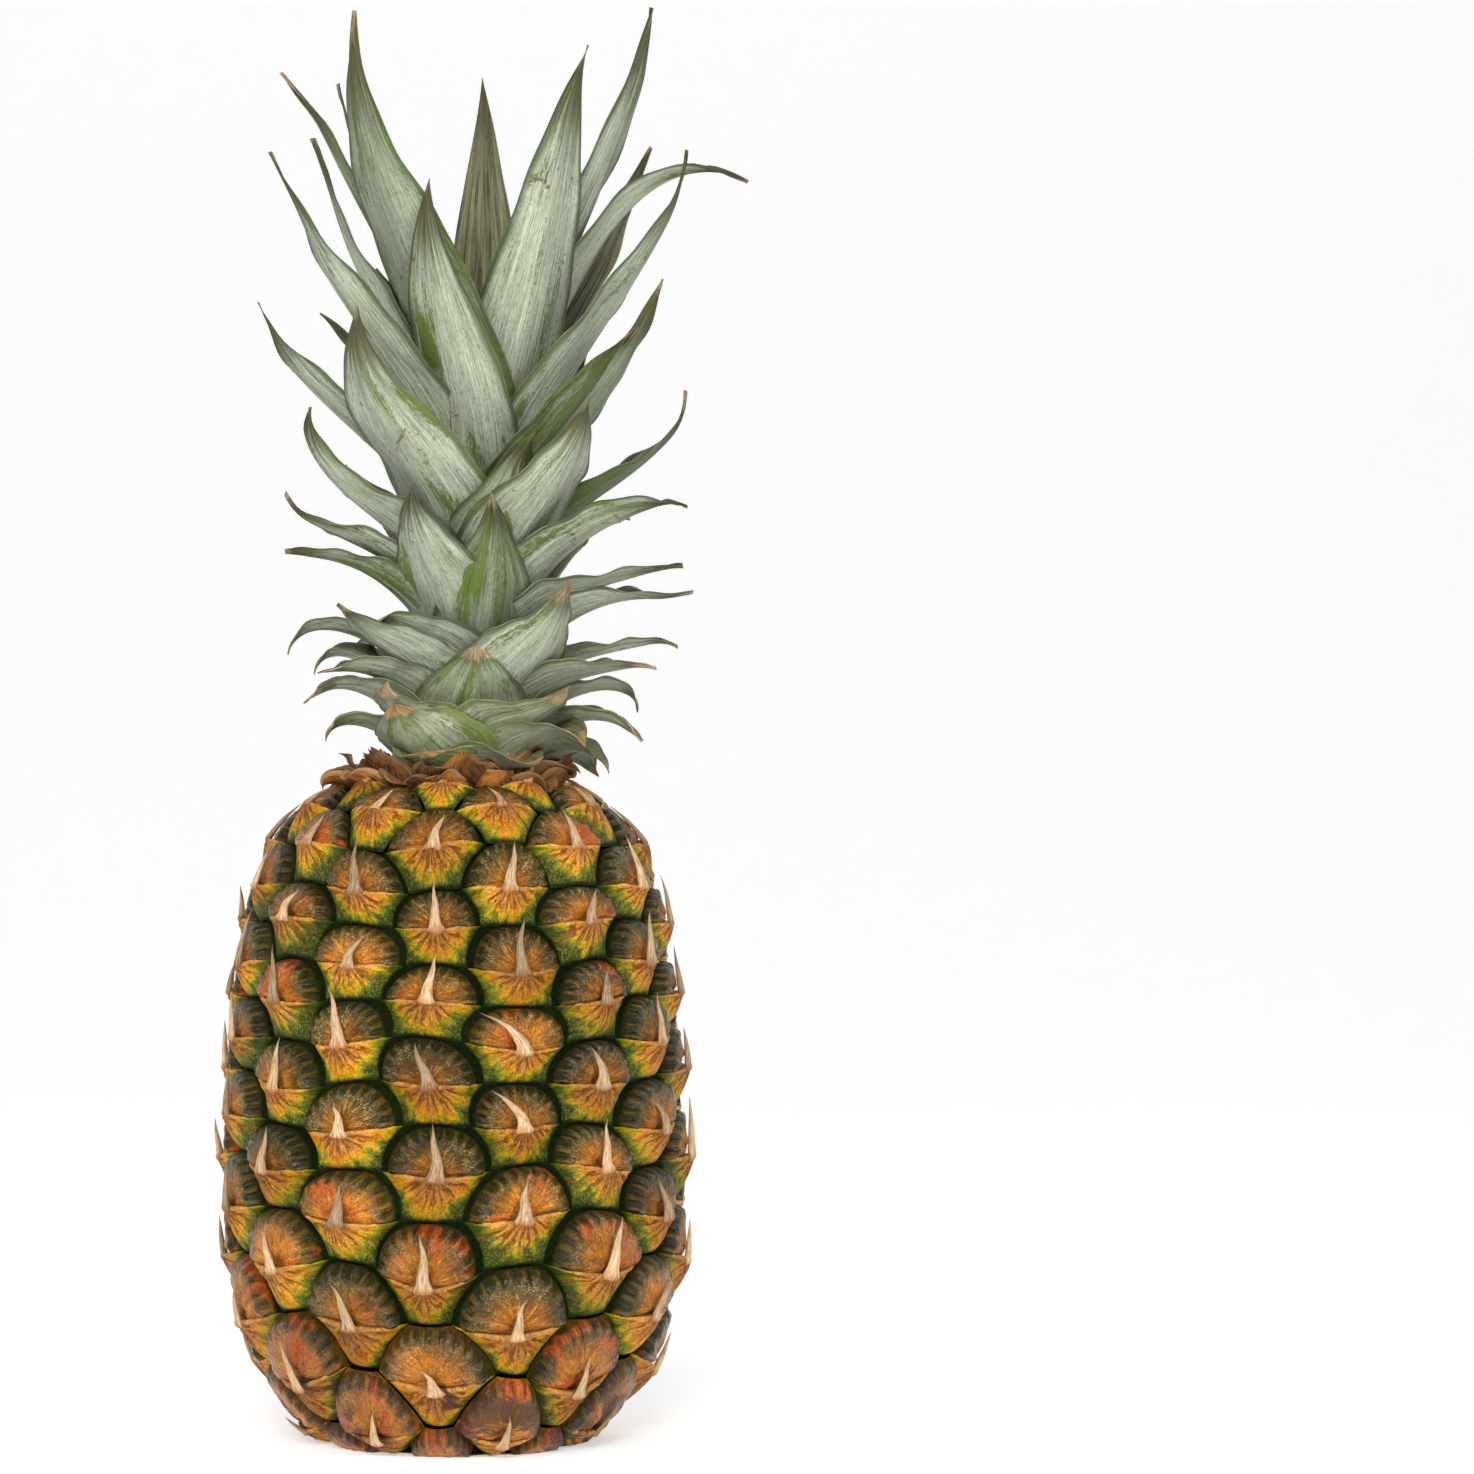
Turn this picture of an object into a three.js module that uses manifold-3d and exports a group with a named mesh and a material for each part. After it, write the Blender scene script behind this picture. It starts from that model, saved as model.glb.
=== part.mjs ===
// A whole pineapple that stands on its base: the fruit with dry bracts round its shoulder, and its leafy crown.
// Millimetres, +Z up. The origin is the centre of the flat spot that it stands on, and -Y is its front.
import * as THREE from 'three';
import { mergeVertices } from 'three/addons/utils/BufferGeometryUtils.js';
import Module from 'manifold-3d';

const wasm = await Module();
wasm.setup();

// Clearance between the fruit and the crown
const GAP = 0.3;

// The fruitlets stand in 16 upright columns, each a half step above the next.
const COLUMNS = 16;
const FIRST_COLUMN_DEG = -6;
// The fruit's outer envelope: radius and height of each row of fruitlets, from under the base to the top.
const FIRST_ROW = -2;
const ROWS = [
  [13, -2.6], [28, -1.9], [40, 5.4], [50, 20], [55.2, 34.2], [57.2, 47.4], [58, 60.3], [58, 71.5],
  [57.7, 82], [57.1, 92.5], [56.4, 102.4], [55.5, 111.9], [54.2, 120.9], [52.6, 130.8], [50.4, 139.8],
  [45.6, 150.2], [37.2, 159], [27.5, 164.2], [19, 166],
];
const LAST_ROW = FIRST_ROW + ROWS.length - 1;
const FULL_CELL = 22.8; // a column's width at the widest row
// Heights over the envelope, for a fruitlet of full width
const CREASE = -4.8;
const EYE = -1.2;
const EYE_MIDDLE = -1.7;
const UNDER_RIDGE = -2.2;
const RIDGE = 0.6;
const RIDGE_END = -1.6;
const BRACT = -1.0;
const BRACT_FOOT = -2.4;
// How far the ridge sags between its ends, in rows
const SAG = 0.15;
// The dry tip of each bract
const SPINE = { length: 12.5, width: 3.4, lift: 2.6 };
// The groove round the cut stalk under the base
const STALK_GROOVE = { inner: 12, outer: 14.5, depth: 2.5 };
// Dry brown bracts round the shoulder
const BRACTS = { count: 16, radius: 21.5, z: 162.8, seed: 11 };
// The crown's stem, which grows in a socket of the same form
const STEM_FOOT = 162.3;
const STEM = [[19.5, STEM_FOOT], [18.5, 170], [13, 190], [10, 210], [7, 228], [3, 246]];
const STEM_SIDES = 14;
const CROWN_LEAN = 0.8;
// How thick a leaf's keel is at its root and near its tip, and how far its root is sunk in the stem
const BLADE = { root: 2.2, tip: 1.3, rings: 4, sunk: 3 };
// Leaves that show from the front, from the lowest up. Angles in degrees: where the leaf stands round the stem
// (0 at the front, more to the right) and how far its tip turns from upright.
// [where, root height, reach of the tip, tip height, tip's turn, width, sideways bend]
const FRONT_LEAVES = [
  [-20, 164, 28, 172, 35, 26, 0],
  [30, 164, 31, 169.5, 70, 26, 5],
  [80, 167, 38, 166.5, 145, 15, 0],
  [-28, 165, 30, 184, 22, 33, -5],
  [50, 166, 40, 174.5, 110, 26, 0],
  [76, 170, 44, 173.5, 150, 18, 0],
  [-80, 169, 36, 174.5, 160, 18, 0],
  [-72, 173, 42, 183, 150, 20, 0],
  [97, 174, 44, 182, 150, 18, 0],
  [35, 168, 35, 186.5, 42, 33, 4],
  [-42, 170, 34, 188, 32, 29, 0],
  [2, 173, 25, 199, 5, 29, 0],
  [-60, 177, 44, 190.5, 105, 24, 0],
  [-100, 178, 41, 191.5, 155, 18, 0],
  [65, 177, 50, 193.5, 80, 23, 0],
  [100, 181, 52, 200.5, 75, 18, 0],
  [26, 178, 37, 213, 5, 30, 6],
  [-47, 180, 46, 208.5, 45, 28, 0],
  [-85, 184, 47, 196, 160, 18, 0],
  [-24, 184, 36, 205, 65, 27, -12],
  [68, 187, 56, 208, 105, 22, 0],
  [58, 192, 57, 217.5, 75, 20, 0],
  [11, 188, 28, 235, 0, 26, -2],
  [-68, 193, 52, 219.5, 95, 19, 0],
  [-24, 192, 35, 236.5, 5, 28, -3],
  [50, 197, 67, 233, 82, 23, 0],
  [-66, 199, 55, 233, 60, 17, 0],
  [-4, 198, 28, 250, 5, 27, 10],
  [-53, 203, 56, 255, 12, 24, 0],
  [27, 203, 46, 258, 12, 28, 4],
  [76, 207, 54, 259, 28, 19, 0],
  [-30, 208, 55, 279, 0, 29, -6],
  [-60, 212, 65, 281, 25, 19, 0],
  [47, 214, 56, 286, 18, 22, 0],
  [35, 215, 50, 276, 32, 17, 4],
  [-15, 217, 38, 311, 2, 25, -6],
  [-50, 219, 68, 317, 18, 21, 0],
  [55, 221, 60, 317, 22, 20, 0],
  [20, 224, 44, 343, 16, 27, 6],
  [-36, 226, 54, 350.5, 0, 29, -5],
  [70, 225, 67, 311, 118, 18, 0],
  [60, 228, 44, 354, 14, 21, 0],
  [-82, 224, 44, 324, 8, 20, 0],
  [-68, 228, 54, 340, 25, 16, 0],
  [186, 226, 28, 344, 4, 22, 0],
];
// Leaves round the back follow a spiral: one golden angle and one step up the stem for each.
const BACK = { count: 20, golden: 97.3, first: 180, spread: 62, seed: 5 };

const radians = THREE.MathUtils.degToRad;
const lerp = THREE.MathUtils.lerp;

// Random numbers from 0 to 1 that are the same on every run.
function seeded(seed) {
  let state = seed;
  return () => {
    state = (state * 16807) % 2147483647;
    return state / 2147483647;
  };
}

function toSolid(geometry) {
  const bare = geometry.clone();
  bare.deleteAttribute('normal');
  bare.deleteAttribute('uv');
  const merged = mergeVertices(bare, 1e-4);
  const vertProperties = new Float32Array(merged.attributes.position.array);
  const triVerts = new Uint32Array(merged.index.array);
  return new wasm.Manifold(new wasm.Mesh({ numProp: 3, vertProperties, triVerts }));
}

function trianglesToSolid(points, triangles) {
  const geometry = new THREE.BufferGeometry();
  geometry.setAttribute('position', new THREE.Float32BufferAttribute(points.flatMap((p) => p.toArray()), 3));
  geometry.setIndex(triangles.flat());
  return toSolid(geometry);
}

// Joins solids and keeps the one body that holds them together, without scraps or sealed hollows.
function fuse(solids) {
  const bodies = wasm.Manifold.union(solids).decompose();
  return bodies.reduce((best, body) => (body.volume() > best.volume() ? body : best));
}

function toMesh(name, solid, colour, roughness) {
  const { vertProperties, triVerts } = solid.getMesh();
  const geometry = new THREE.BufferGeometry();
  geometry.setAttribute('position', new THREE.BufferAttribute(vertProperties, 3));
  geometry.setIndex(new THREE.BufferAttribute(triVerts, 1));
  geometry.computeVertexNormals();
  const material = new THREE.MeshStandardMaterial({ color: colour, roughness, metalness: 0 });
  const mesh = new THREE.Mesh(geometry, material);
  mesh.name = name;
  return mesh;
}

function turned(profile, sides) {
  const points = profile.map(([r, z]) => new THREE.Vector2(r, z));
  return toSolid(new THREE.LatheGeometry(points, sides).rotateX(Math.PI / 2));
}

function drum(radius, low, high, sides) {
  return turned([[0, low], [radius, low], [radius, high], [0, high]], sides);
}

// The unit vector that points away from the axis at an angle from the front, and the one to its right.
const outward = (angle) => new THREE.Vector3(Math.sin(angle), -Math.cos(angle), 0);
const rightward = (angle) => new THREE.Vector3(Math.cos(angle), Math.sin(angle), 0);

// The crown leans: how far its axis lies to the right of the fruit's at a height.
const crownAxis = (z) => CROWN_LEAN * Math.sqrt(Math.max(0, z - STEM_FOOT));

const envelope = new THREE.CatmullRomCurve3(ROWS.map(([r, z]) => new THREE.Vector3(r, 0, z)));
const rowShare = (row) => (row - FIRST_ROW) / (ROWS.length - 1);
const cellSize = (row) => (ROWS[row - FIRST_ROW][0] * 2 * Math.PI) / COLUMNS;

// A point of the fruit at a column and row, both of which may be fractions, and a height over the envelope.
function skinPoint(column, row, height) {
  const share = rowShare(row);
  const place = envelope.getPoint(share);
  const along = envelope.getTangent(share);
  const angle = radians(FIRST_COLUMN_DEG) + (column * 2 * Math.PI) / COLUMNS;
  const radius = place.x + along.z * height;
  return outward(angle).multiplyScalar(radius).setZ(place.z - along.x * height);
}

// How far a fruitlet's side corners lie from its middle, in columns: each edge lies midway to a neighbour.
function sideReach(row) {
  if (row <= FIRST_ROW || row >= LAST_ROW) return 0.75;
  const [below, above] = [ROWS[row - 1 - FIRST_ROW], ROWS[row + 1 - FIRST_ROW]];
  const step = Math.hypot(above[0] - below[0], above[1] - below[1]) / 2;
  return THREE.MathUtils.clamp(0.5 * (1 + (step / cellSize(row)) ** 2), 0.56, 0.78);
}

// One half of a fruitlet as a ring of edge points, a ring inside it and a middle, each [column, row, height].
function patch(edge, inner, middle) {
  const triangles = [];
  edge.forEach((point, i) => {
    const next = (i + 1) % edge.length;
    triangles.push([point, edge[next], inner[next]], [point, inner[next], inner[i]]);
    triangles.push([inner[i], inner[next], middle]);
  });
  return triangles;
}

// A fruitlet's flat eye fills the upper half of its cell and its bract the lower half. Their shared ridge
// stands proud, and the bract's dry tip rises from its middle. The lowest row has no bracts and the highest
// no eyes.
function fruitlet(column, row) {
  const side = sideReach(row);
  const upper = 1 - sideReach(row + 1);
  const lower = 1 - sideReach(row - 1);
  const size = Math.min(1, cellSize(Math.max(row, 0)) / FULL_CELL);
  const wide = SPINE.width / 2 / FULL_CELL;
  const at = (across, up, height) => [column + across, row + up, height * size];
  const foot = [at(-wide, -SAG, RIDGE), at(wide, -SAG, RIDGE), at(0, -SAG - 0.15, RIDGE + 0.7)];
  const left = [at(-side, 0, CREASE), at(-side * 0.7, -SAG / 2, RIDGE_END)];
  const right = [at(side * 0.7, -SAG / 2, RIDGE_END), at(side, 0, CREASE)];
  const eyeEdge = [...left, foot[0], foot[1], ...right, at(upper, 1, CREASE), at(-upper, 1, CREASE)];
  const eyeRing = [
    at(-side * 0.78, 0.12, EYE - 1), at(-side * 0.6, 0.02, UNDER_RIDGE), at(-wide, 0.09 - SAG, UNDER_RIDGE),
    at(wide, 0.09 - SAG, UNDER_RIDGE), at(side * 0.6, 0.02, UNDER_RIDGE), at(side * 0.78, 0.12, EYE - 1),
    at(upper * 0.95, 0.8, EYE), at(-upper * 0.95, 0.8, EYE),
  ];
  const bractEdge = [
    right[1], right[0], foot[1], foot[2], foot[0], left[1], left[0],
    at(-lower, -1, CREASE), at(lower, -1, CREASE),
  ];
  const bractRing = [
    at(side * 0.78, -0.2, RIDGE_END - 0.6), at(side * 0.55, -0.24, RIDGE_END),
    at(wide, -SAG - 0.17, RIDGE - 0.3), at(0, -SAG - 0.3, RIDGE), at(-wide, -SAG - 0.17, RIDGE - 0.3),
    at(-side * 0.55, -0.24, RIDGE_END), at(-side * 0.78, -0.2, RIDGE_END - 0.6),
    at(-lower * 0.9, -0.8, BRACT_FOOT), at(lower * 0.9, -0.8, BRACT_FOOT),
  ];
  const eye = row < LAST_ROW - 1 ? patch(eyeEdge, eyeRing, at(0, 0.5, EYE_MIDDLE)) : [];
  if (row === FIRST_ROW + 1) return eye;
  return [...eye, ...patch(bractEdge, bractRing, at(0, -0.6, BRACT)), ...spine(foot, at, row)];
}

// The dry tip on a fruitlet's ridge, which bends up over the eye.
function spine(foot, at, row) {
  const rowStep = envelope.getPoint(rowShare(row)).distanceTo(envelope.getPoint(rowShare(row + 1)));
  const reach = SPINE.length / rowStep;
  const wide = (SPINE.width * 0.4) / FULL_CELL;
  const middle = [
    at(-wide, reach * 0.35, SPINE.lift * 0.5), at(wide, reach * 0.35, SPINE.lift * 0.5),
    at(0, reach * 0.35, SPINE.lift * 0.5 + 1),
  ];
  const end = at(0, reach, SPINE.lift);
  return foot.flatMap((corner, i) => {
    const next = (i + 1) % 3;
    return [
      [corner, middle[i], foot[next]],
      [foot[next], middle[i], middle[next]],
      [middle[i], end, middle[next]],
    ];
  });
}

// Closes the open ends of the fruit's skin with fans to points on its axis.
function capEnds(triangles, keyOf) {
  const open = new Map();
  for (const triangle of triangles) {
    triangle.forEach((point, i) => {
      const next = triangle[(i + 1) % 3];
      const back = `${keyOf(next)}>${keyOf(point)}`;
      if (!open.delete(back)) open.set(`${keyOf(point)}>${keyOf(next)}`, [point, next]);
    });
  }
  return [...open.values()].map(([from, to]) => {
    const low = (from[1] + to[1]) / 2 < (FIRST_ROW + LAST_ROW) / 2;
    return [to, from, low ? 'bottom' : 'top'];
  });
}

function fruitSkin() {
  const triangles = [];
  for (let row = FIRST_ROW + 1; row < LAST_ROW; row++) {
    for (let column = 0; column < COLUMNS; column++) {
      if ((column + row) % 2) triangles.push(...fruitlet(column, row));
    }
  }
  const keyOf = ([column, row]) => `${((column + COLUMNS) % COLUMNS).toFixed(4)},${row.toFixed(4)}`;
  const ends = {
    bottom: new THREE.Vector3(0, 0, ROWS[0][1]),
    top: new THREE.Vector3(0, 0, ROWS.at(-1)[1]),
  };
  const points = [];
  const indices = new Map();
  const indexOf = (vertex) => {
    const key = typeof vertex === 'string' ? vertex : keyOf(vertex);
    if (!indices.has(key)) {
      indices.set(key, points.length);
      points.push(ends[key] ?? skinPoint(...vertex));
    }
    return indices.get(key);
  };
  return trianglesToSolid(points, [...triangles, ...capEnds(triangles, keyOf)].map((t) => t.map(indexOf)));
}

function makeFruit() {
  const aboveTable = toSolid(new THREE.BoxGeometry(300, 300, 300).translate(0, 0, 150));
  const { inner, outer, depth } = STALK_GROOVE;
  const groove = drum(outer, -1, depth, 20).subtract(drum(inner, -2, depth + 1, 20));
  const room = wasm.Manifold.union([stem(GAP), groove, ...lowLeaves(GAP)]);
  return fuse([fuse([fruitSkin(), ...dryBracts()]).intersect(aboveTable).subtract(room)]);
}

// A leaf or bract: a keeled blade along a curve that leaves the stem at an angle and ends at its tip.
// grow makes it thicker and wider on every side, for the room it needs in a neighbour.
function blade(leaf, rings, grow = 0) {
  const angle = radians(leaf.where);
  const out = outward(angle);
  const right = rightward(angle);
  const chord = Math.hypot(leaf.reach - leaf.rootRadius, leaf.tipZ - leaf.rootZ);
  const step = (turn, length) => new THREE.Vector3(Math.sin(turn), 0, Math.cos(turn)).multiplyScalar(length);
  const root = new THREE.Vector3(leaf.rootRadius, 0, leaf.rootZ);
  const tip = new THREE.Vector3(leaf.reach, leaf.side, leaf.tipZ);
  const curve = new THREE.CubicBezierCurve3(
    root, root.clone().add(step(radians(leaf.rootTurn), chord * 0.42)),
    tip.clone().sub(step(radians(leaf.tipTurn), chord * 0.38)), tip,
  );
  const place = (p) => new THREE.Vector3(crownAxis(p.z), 0, p.z)
    .addScaledVector(out, p.x)
    .addScaledVector(right, p.y);
  const points = [];
  for (let k = 0; k < rings; k++) {
    const t = k / rings;
    const middle = place(curve.getPoint(t));
    const along = place(curve.getPoint(t + 0.02)).sub(middle).normalize();
    const across = right.clone().addScaledVector(along, -right.dot(along)).normalize();
    const back = across.clone().cross(along);
    const flare = 0.85 + 0.15 * Math.sin(Math.min(1, t / 0.3) * Math.PI / 2);
    const half = (leaf.width / 2) * flare * (1 - t ** 3.2);
    const keel = half * lerp(0.5, 0.3, t);
    const thick = lerp(BLADE.root, BLADE.tip, t) / 2 + grow;
    const corner = (side, depth) => middle.clone().addScaledVector(across, side).addScaledVector(back, depth);
    points.push(corner(-half - grow, -keel), corner(0, thick), corner(half + grow, -keel), corner(0, -thick));
  }
  const end = points.push(place(curve.getPoint(1))) - 1;
  const triangles = [[0, 3, 1], [1, 3, 2]];
  for (let k = 0; k < rings; k++) {
    for (let m = 0; m < 4; m++) {
      const [a, b] = [k * 4 + m, k * 4 + ((m + 1) % 4)];
      if (k === rings - 1) triangles.push([a, b, end]);
      else if (m < 2) triangles.push([a, b, b + 4], [a, b + 4, a + 4]);
      else triangles.push([a, b, a + 4], [b, b + 4, a + 4]);
    }
  }
  return trianglesToSolid(points, triangles);
}

// How far up the stem a leaf stands, from 0 to 1.
const rank = (rootZ) => (rootZ - STEM_FOOT) / (229 - STEM_FOOT);

function leafFrom([where, rootZ, reach, tipZ, tipTurn, width, side]) {
  const rootTurn = lerp(42, 6, rank(rootZ));
  const rootRadius = lerp(19, 7, Math.sqrt(rank(rootZ))) - BLADE.sunk;
  return { where, rootZ, rootRadius, rootTurn, reach, tipZ, tipTurn, width, side };
}

// Low leaves are short and droop, and high ones are long and stand up.
function backLeaves() {
  const random = seeded(BACK.seed);
  return Array.from({ length: BACK.count }, (_, n) => {
    const up = (n + 0.5) / BACK.count;
    const turn = ((n * BACK.golden) % (2 * BACK.spread)) - BACK.spread;
    const rootZ = lerp(164, 228, up ** 1.2);
    const rise = lerp(4, 118, up ** 1.35) + 10 * (random() - 0.5);
    const reach = lerp(36, 54, up) + 10 * (random() - 0.5);
    const tipTurn = lerp(150, 12, up ** 0.6) + 20 * (random() - 0.5);
    const side = 6 * (random() - 0.5);
    return leafFrom([BACK.first + turn, rootZ, reach, rootZ + rise, tipTurn, lerp(26, 24, up), side]);
  });
}

// The leaves that reach down to the fruit
function lowLeaves(grow) {
  const low = FRONT_LEAVES.map(leafFrom).filter((leaf) => leaf.rootZ < 171);
  return low.map((leaf) => blade(leaf, BLADE.rings, grow));
}

function dryBracts() {
  const random = seeded(BRACTS.seed);
  return Array.from({ length: BRACTS.count }, (_, n) => {
    const droop = random();
    return blade({
      where: (n + 0.5 * random()) * (360 / BRACTS.count), rootZ: BRACTS.z, rootRadius: BRACTS.radius,
      rootTurn: 25, reach: BRACTS.radius + 7 + 5 * random(), tipZ: lerp(173, 166.5, droop),
      tipTurn: lerp(20, 130, droop), width: 11 + 3 * random(), side: 3 * (random() - 0.5),
    }, 2);
  });
}

function stem(grow = 0) {
  const side = STEM.map(([r, z]) => [r + grow, z === STEM_FOOT ? z - grow : z]);
  const [foot, top] = [side[0][1], side.at(-1)[1] + 3];
  return turned([[0, foot], ...side, [0, top]], STEM_SIDES).warp((p) => { p[0] += crownAxis(p[2]); });
}

function makeCrown() {
  const leaves = [...FRONT_LEAVES.map(leafFrom), ...backLeaves()];
  return fuse([stem(), ...leaves.map((leaf) => blade(leaf, BLADE.rings))]);
}

const pineapple = new THREE.Group();
pineapple.add(
  toMesh('fruit', makeFruit(), '#8a5a24', 0.45),
  toMesh('crown', makeCrown(), '#8f9f86', 0.6),
);
export default pineapple;
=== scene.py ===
"""A whole pineapple: fruitlets with dry spiked bracts, and a crown of pale grey-green leaves."""
import math
from collections import namedtuple

import bpy
import numpy as np
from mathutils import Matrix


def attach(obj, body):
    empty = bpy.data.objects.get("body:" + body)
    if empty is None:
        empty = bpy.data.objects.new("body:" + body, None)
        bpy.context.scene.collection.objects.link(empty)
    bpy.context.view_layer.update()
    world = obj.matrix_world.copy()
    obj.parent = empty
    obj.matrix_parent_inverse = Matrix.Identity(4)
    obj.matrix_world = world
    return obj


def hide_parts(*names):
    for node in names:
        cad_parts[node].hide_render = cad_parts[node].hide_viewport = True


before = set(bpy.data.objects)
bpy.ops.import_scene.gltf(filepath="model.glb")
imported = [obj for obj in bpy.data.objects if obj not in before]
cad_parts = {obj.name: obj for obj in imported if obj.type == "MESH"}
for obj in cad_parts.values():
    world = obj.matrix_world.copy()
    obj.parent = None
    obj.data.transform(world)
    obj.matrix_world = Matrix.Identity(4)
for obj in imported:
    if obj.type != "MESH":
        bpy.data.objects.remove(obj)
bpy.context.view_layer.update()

# Lengths are in millimetres until a mesh is made.
MM = 0.001

# Columns and rows of fruitlets, as in the solid: (radius, height) of the fruit's outer form at each row.
COLUMNS = 16
FIRST_COLUMN = math.radians(-6)
COLUMN_TURN = math.radians(360 / COLUMNS)
FIRST_ROW = -2
ROWS = np.array([
    (13, -2.6), (28, -1.9), (40, 5.4), (50, 20), (55.2, 34.2), (57.2, 47.4), (58, 60.3), (58, 71.5),
    (57.7, 82), (57.1, 92.5), (56.4, 102.4), (55.5, 111.9), (54.2, 120.9), (52.6, 130.8), (50.4, 139.8),
    (45.6, 150.2), (37.2, 159), (27.5, 164.2), (19, 166),
])
LAST_ROW = FIRST_ROW + len(ROWS) - 1
# A full fruitlet's width, and the heights of its crease, its bract's ridge and its eye
FULL_CELL = 22.8
CREASE = -4.8
RIDGE = 0.6
EYE_TOP = -0.7
# The ridge's sag, in rows, and the dry tip's length
SAG = 0.15
SPINE_LENGTH = 12.5
# How far a fruitlet's side corners reach, in columns: at the fruit's ends, and limits
END_REACH = 0.75
SIDE_LIMITS = (0.56, 0.78)
# Waves that shift fruitlets, in columns and rows: height, waves round, waves up, phase
SHIFT_WAVES = ((0.05, 3, 1.3, 0.7), (0.035, 5, -0.9, 0))
RISE_WAVES = ((0.08, 4, 0.8, 2), (0.06, 7, -0.5, 0))

# The crown's stem, and how far it leans to the right
STEM_FOOT = 162.3
STEM_TOP = 229
CROWN_LEAN = 0.8
# Leaves that show from the front, as in the solid:
# where round the stem, root height, reach of the tip, tip height, tip's turn, width, sideways bend
FRONT_LEAVES = [
    (-20, 164, 28, 172, 35, 26, 0),
    (30, 164, 31, 169.5, 70, 26, 5),
    (80, 167, 38, 166.5, 145, 15, 0),
    (-28, 165, 30, 184, 22, 33, -5),
    (50, 166, 40, 174.5, 110, 26, 0),
    (76, 170, 44, 173.5, 150, 18, 0),
    (-80, 169, 36, 174.5, 160, 18, 0),
    (-72, 173, 42, 183, 150, 20, 0),
    (97, 174, 44, 182, 150, 18, 0),
    (35, 168, 35, 186.5, 42, 33, 4),
    (-42, 170, 34, 188, 32, 29, 0),
    (2, 173, 25, 199, 5, 29, 0),
    (-60, 177, 44, 190.5, 105, 24, 0),
    (-100, 178, 41, 191.5, 155, 18, 0),
    (65, 177, 50, 193.5, 80, 23, 0),
    (100, 181, 52, 200.5, 75, 18, 0),
    (26, 178, 37, 213, 5, 30, 6),
    (-47, 180, 46, 208.5, 45, 28, 0),
    (-85, 184, 47, 196, 160, 18, 0),
    (-24, 184, 36, 205, 65, 27, -12),
    (68, 187, 56, 208, 105, 22, 0),
    (58, 192, 57, 217.5, 75, 20, 0),
    (11, 188, 28, 235, 0, 26, -2),
    (-68, 193, 52, 219.5, 95, 19, 0),
    (-24, 192, 35, 236.5, 5, 28, -3),
    (50, 197, 67, 233, 82, 23, 0),
    (-66, 199, 55, 233, 60, 17, 0),
    (-4, 198, 28, 250, 5, 27, 10),
    (-53, 203, 56, 255, 12, 24, 0),
    (27, 203, 46, 258, 12, 28, 4),
    (76, 207, 54, 259, 28, 19, 0),
    (-30, 208, 55, 279, 0, 29, -6),
    (-60, 212, 65, 281, 25, 19, 0),
    (47, 214, 56, 286, 18, 22, 0),
    (35, 215, 50, 276, 32, 17, 4),
    (-15, 217, 38, 311, 2, 25, -6),
    (-50, 219, 68, 317, 18, 21, 0),
    (55, 221, 60, 317, 22, 20, 0),
    (20, 224, 44, 343, 16, 27, 6),
    (-36, 226, 54, 350.5, 0, 29, -5),
    (70, 225, 67, 311, 118, 18, 0),
    (60, 228, 44, 354, 14, 21, 0),
    (-82, 224, 44, 324, 8, 20, 0),
    (-68, 228, 54, 340, 25, 16, 0),
    (186, 226, 28, 344, 4, 22, 0),
]
# Places in the table of leaves that have lost much of their bloom
WORN_LEAVES = (22, 27, 29, 30, 33, 34, 35, 43)
# Leaves at the back: how many, their step and their reach to each side, in degrees
BACK_COUNT = 20
BACK_STEP = 97.3
BACK_SPREAD = 62

# Dry bracts on the shoulder, and dry scales against the foot of the stem
BRACT_COUNT = 42
BRACT_RADIUS = 21.5
BRACT_Z = 162.8
SCALE_COUNT = 26

# Seeds of the random numbers
FRUITLET_SEED = 77
STALK_SEED = 9
LEAF_SEED = 31
BACK_SEED = 5
BRACT_SEED = 11


def seeded(seed):
    """A function that gives random numbers from 0 to 1, the same on every run."""
    state = [seed]

    def draw():
        state[0] = (state[0] * 16807) % 2147483647
        return state[0] / 2147483647

    return draw


def mix(a, b, share):
    return a + (b - a) * share


def smooth(low, high, value):
    t = np.clip((value - low) / (high - low), 0, 1)
    return t * t * (3 - 2 * t)


def unit(vectors):
    return vectors / np.linalg.norm(vectors, axis=-1, keepdims=True)


def circle(sides):
    return np.arange(sides) / sides * 2 * math.pi


def add_object(name, data):
    thing = bpy.data.objects.new(name, data)
    bpy.context.scene.collection.objects.link(thing)
    return thing


# Meshes

def grid_quads(rows, columns):
    """Quads of a grid of rows by columns of points, stored row by row."""
    first = (np.arange(rows - 1)[:, None] * columns + np.arange(columns - 1)[None, :]).ravel()
    return np.stack([first, first + 1, first + columns + 1, first + columns], axis=1)


def tube_quads(rows, columns):
    """Quads of a grid whose last column of points meets its first."""
    line = np.arange(columns)
    step = np.arange(rows - 1)[:, None] * columns
    first = (step + line[None, :]).ravel()
    second = (step + np.roll(line, -1)[None, :]).ravel()
    return np.stack([first, second, second + columns, first + columns], axis=1)


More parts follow.
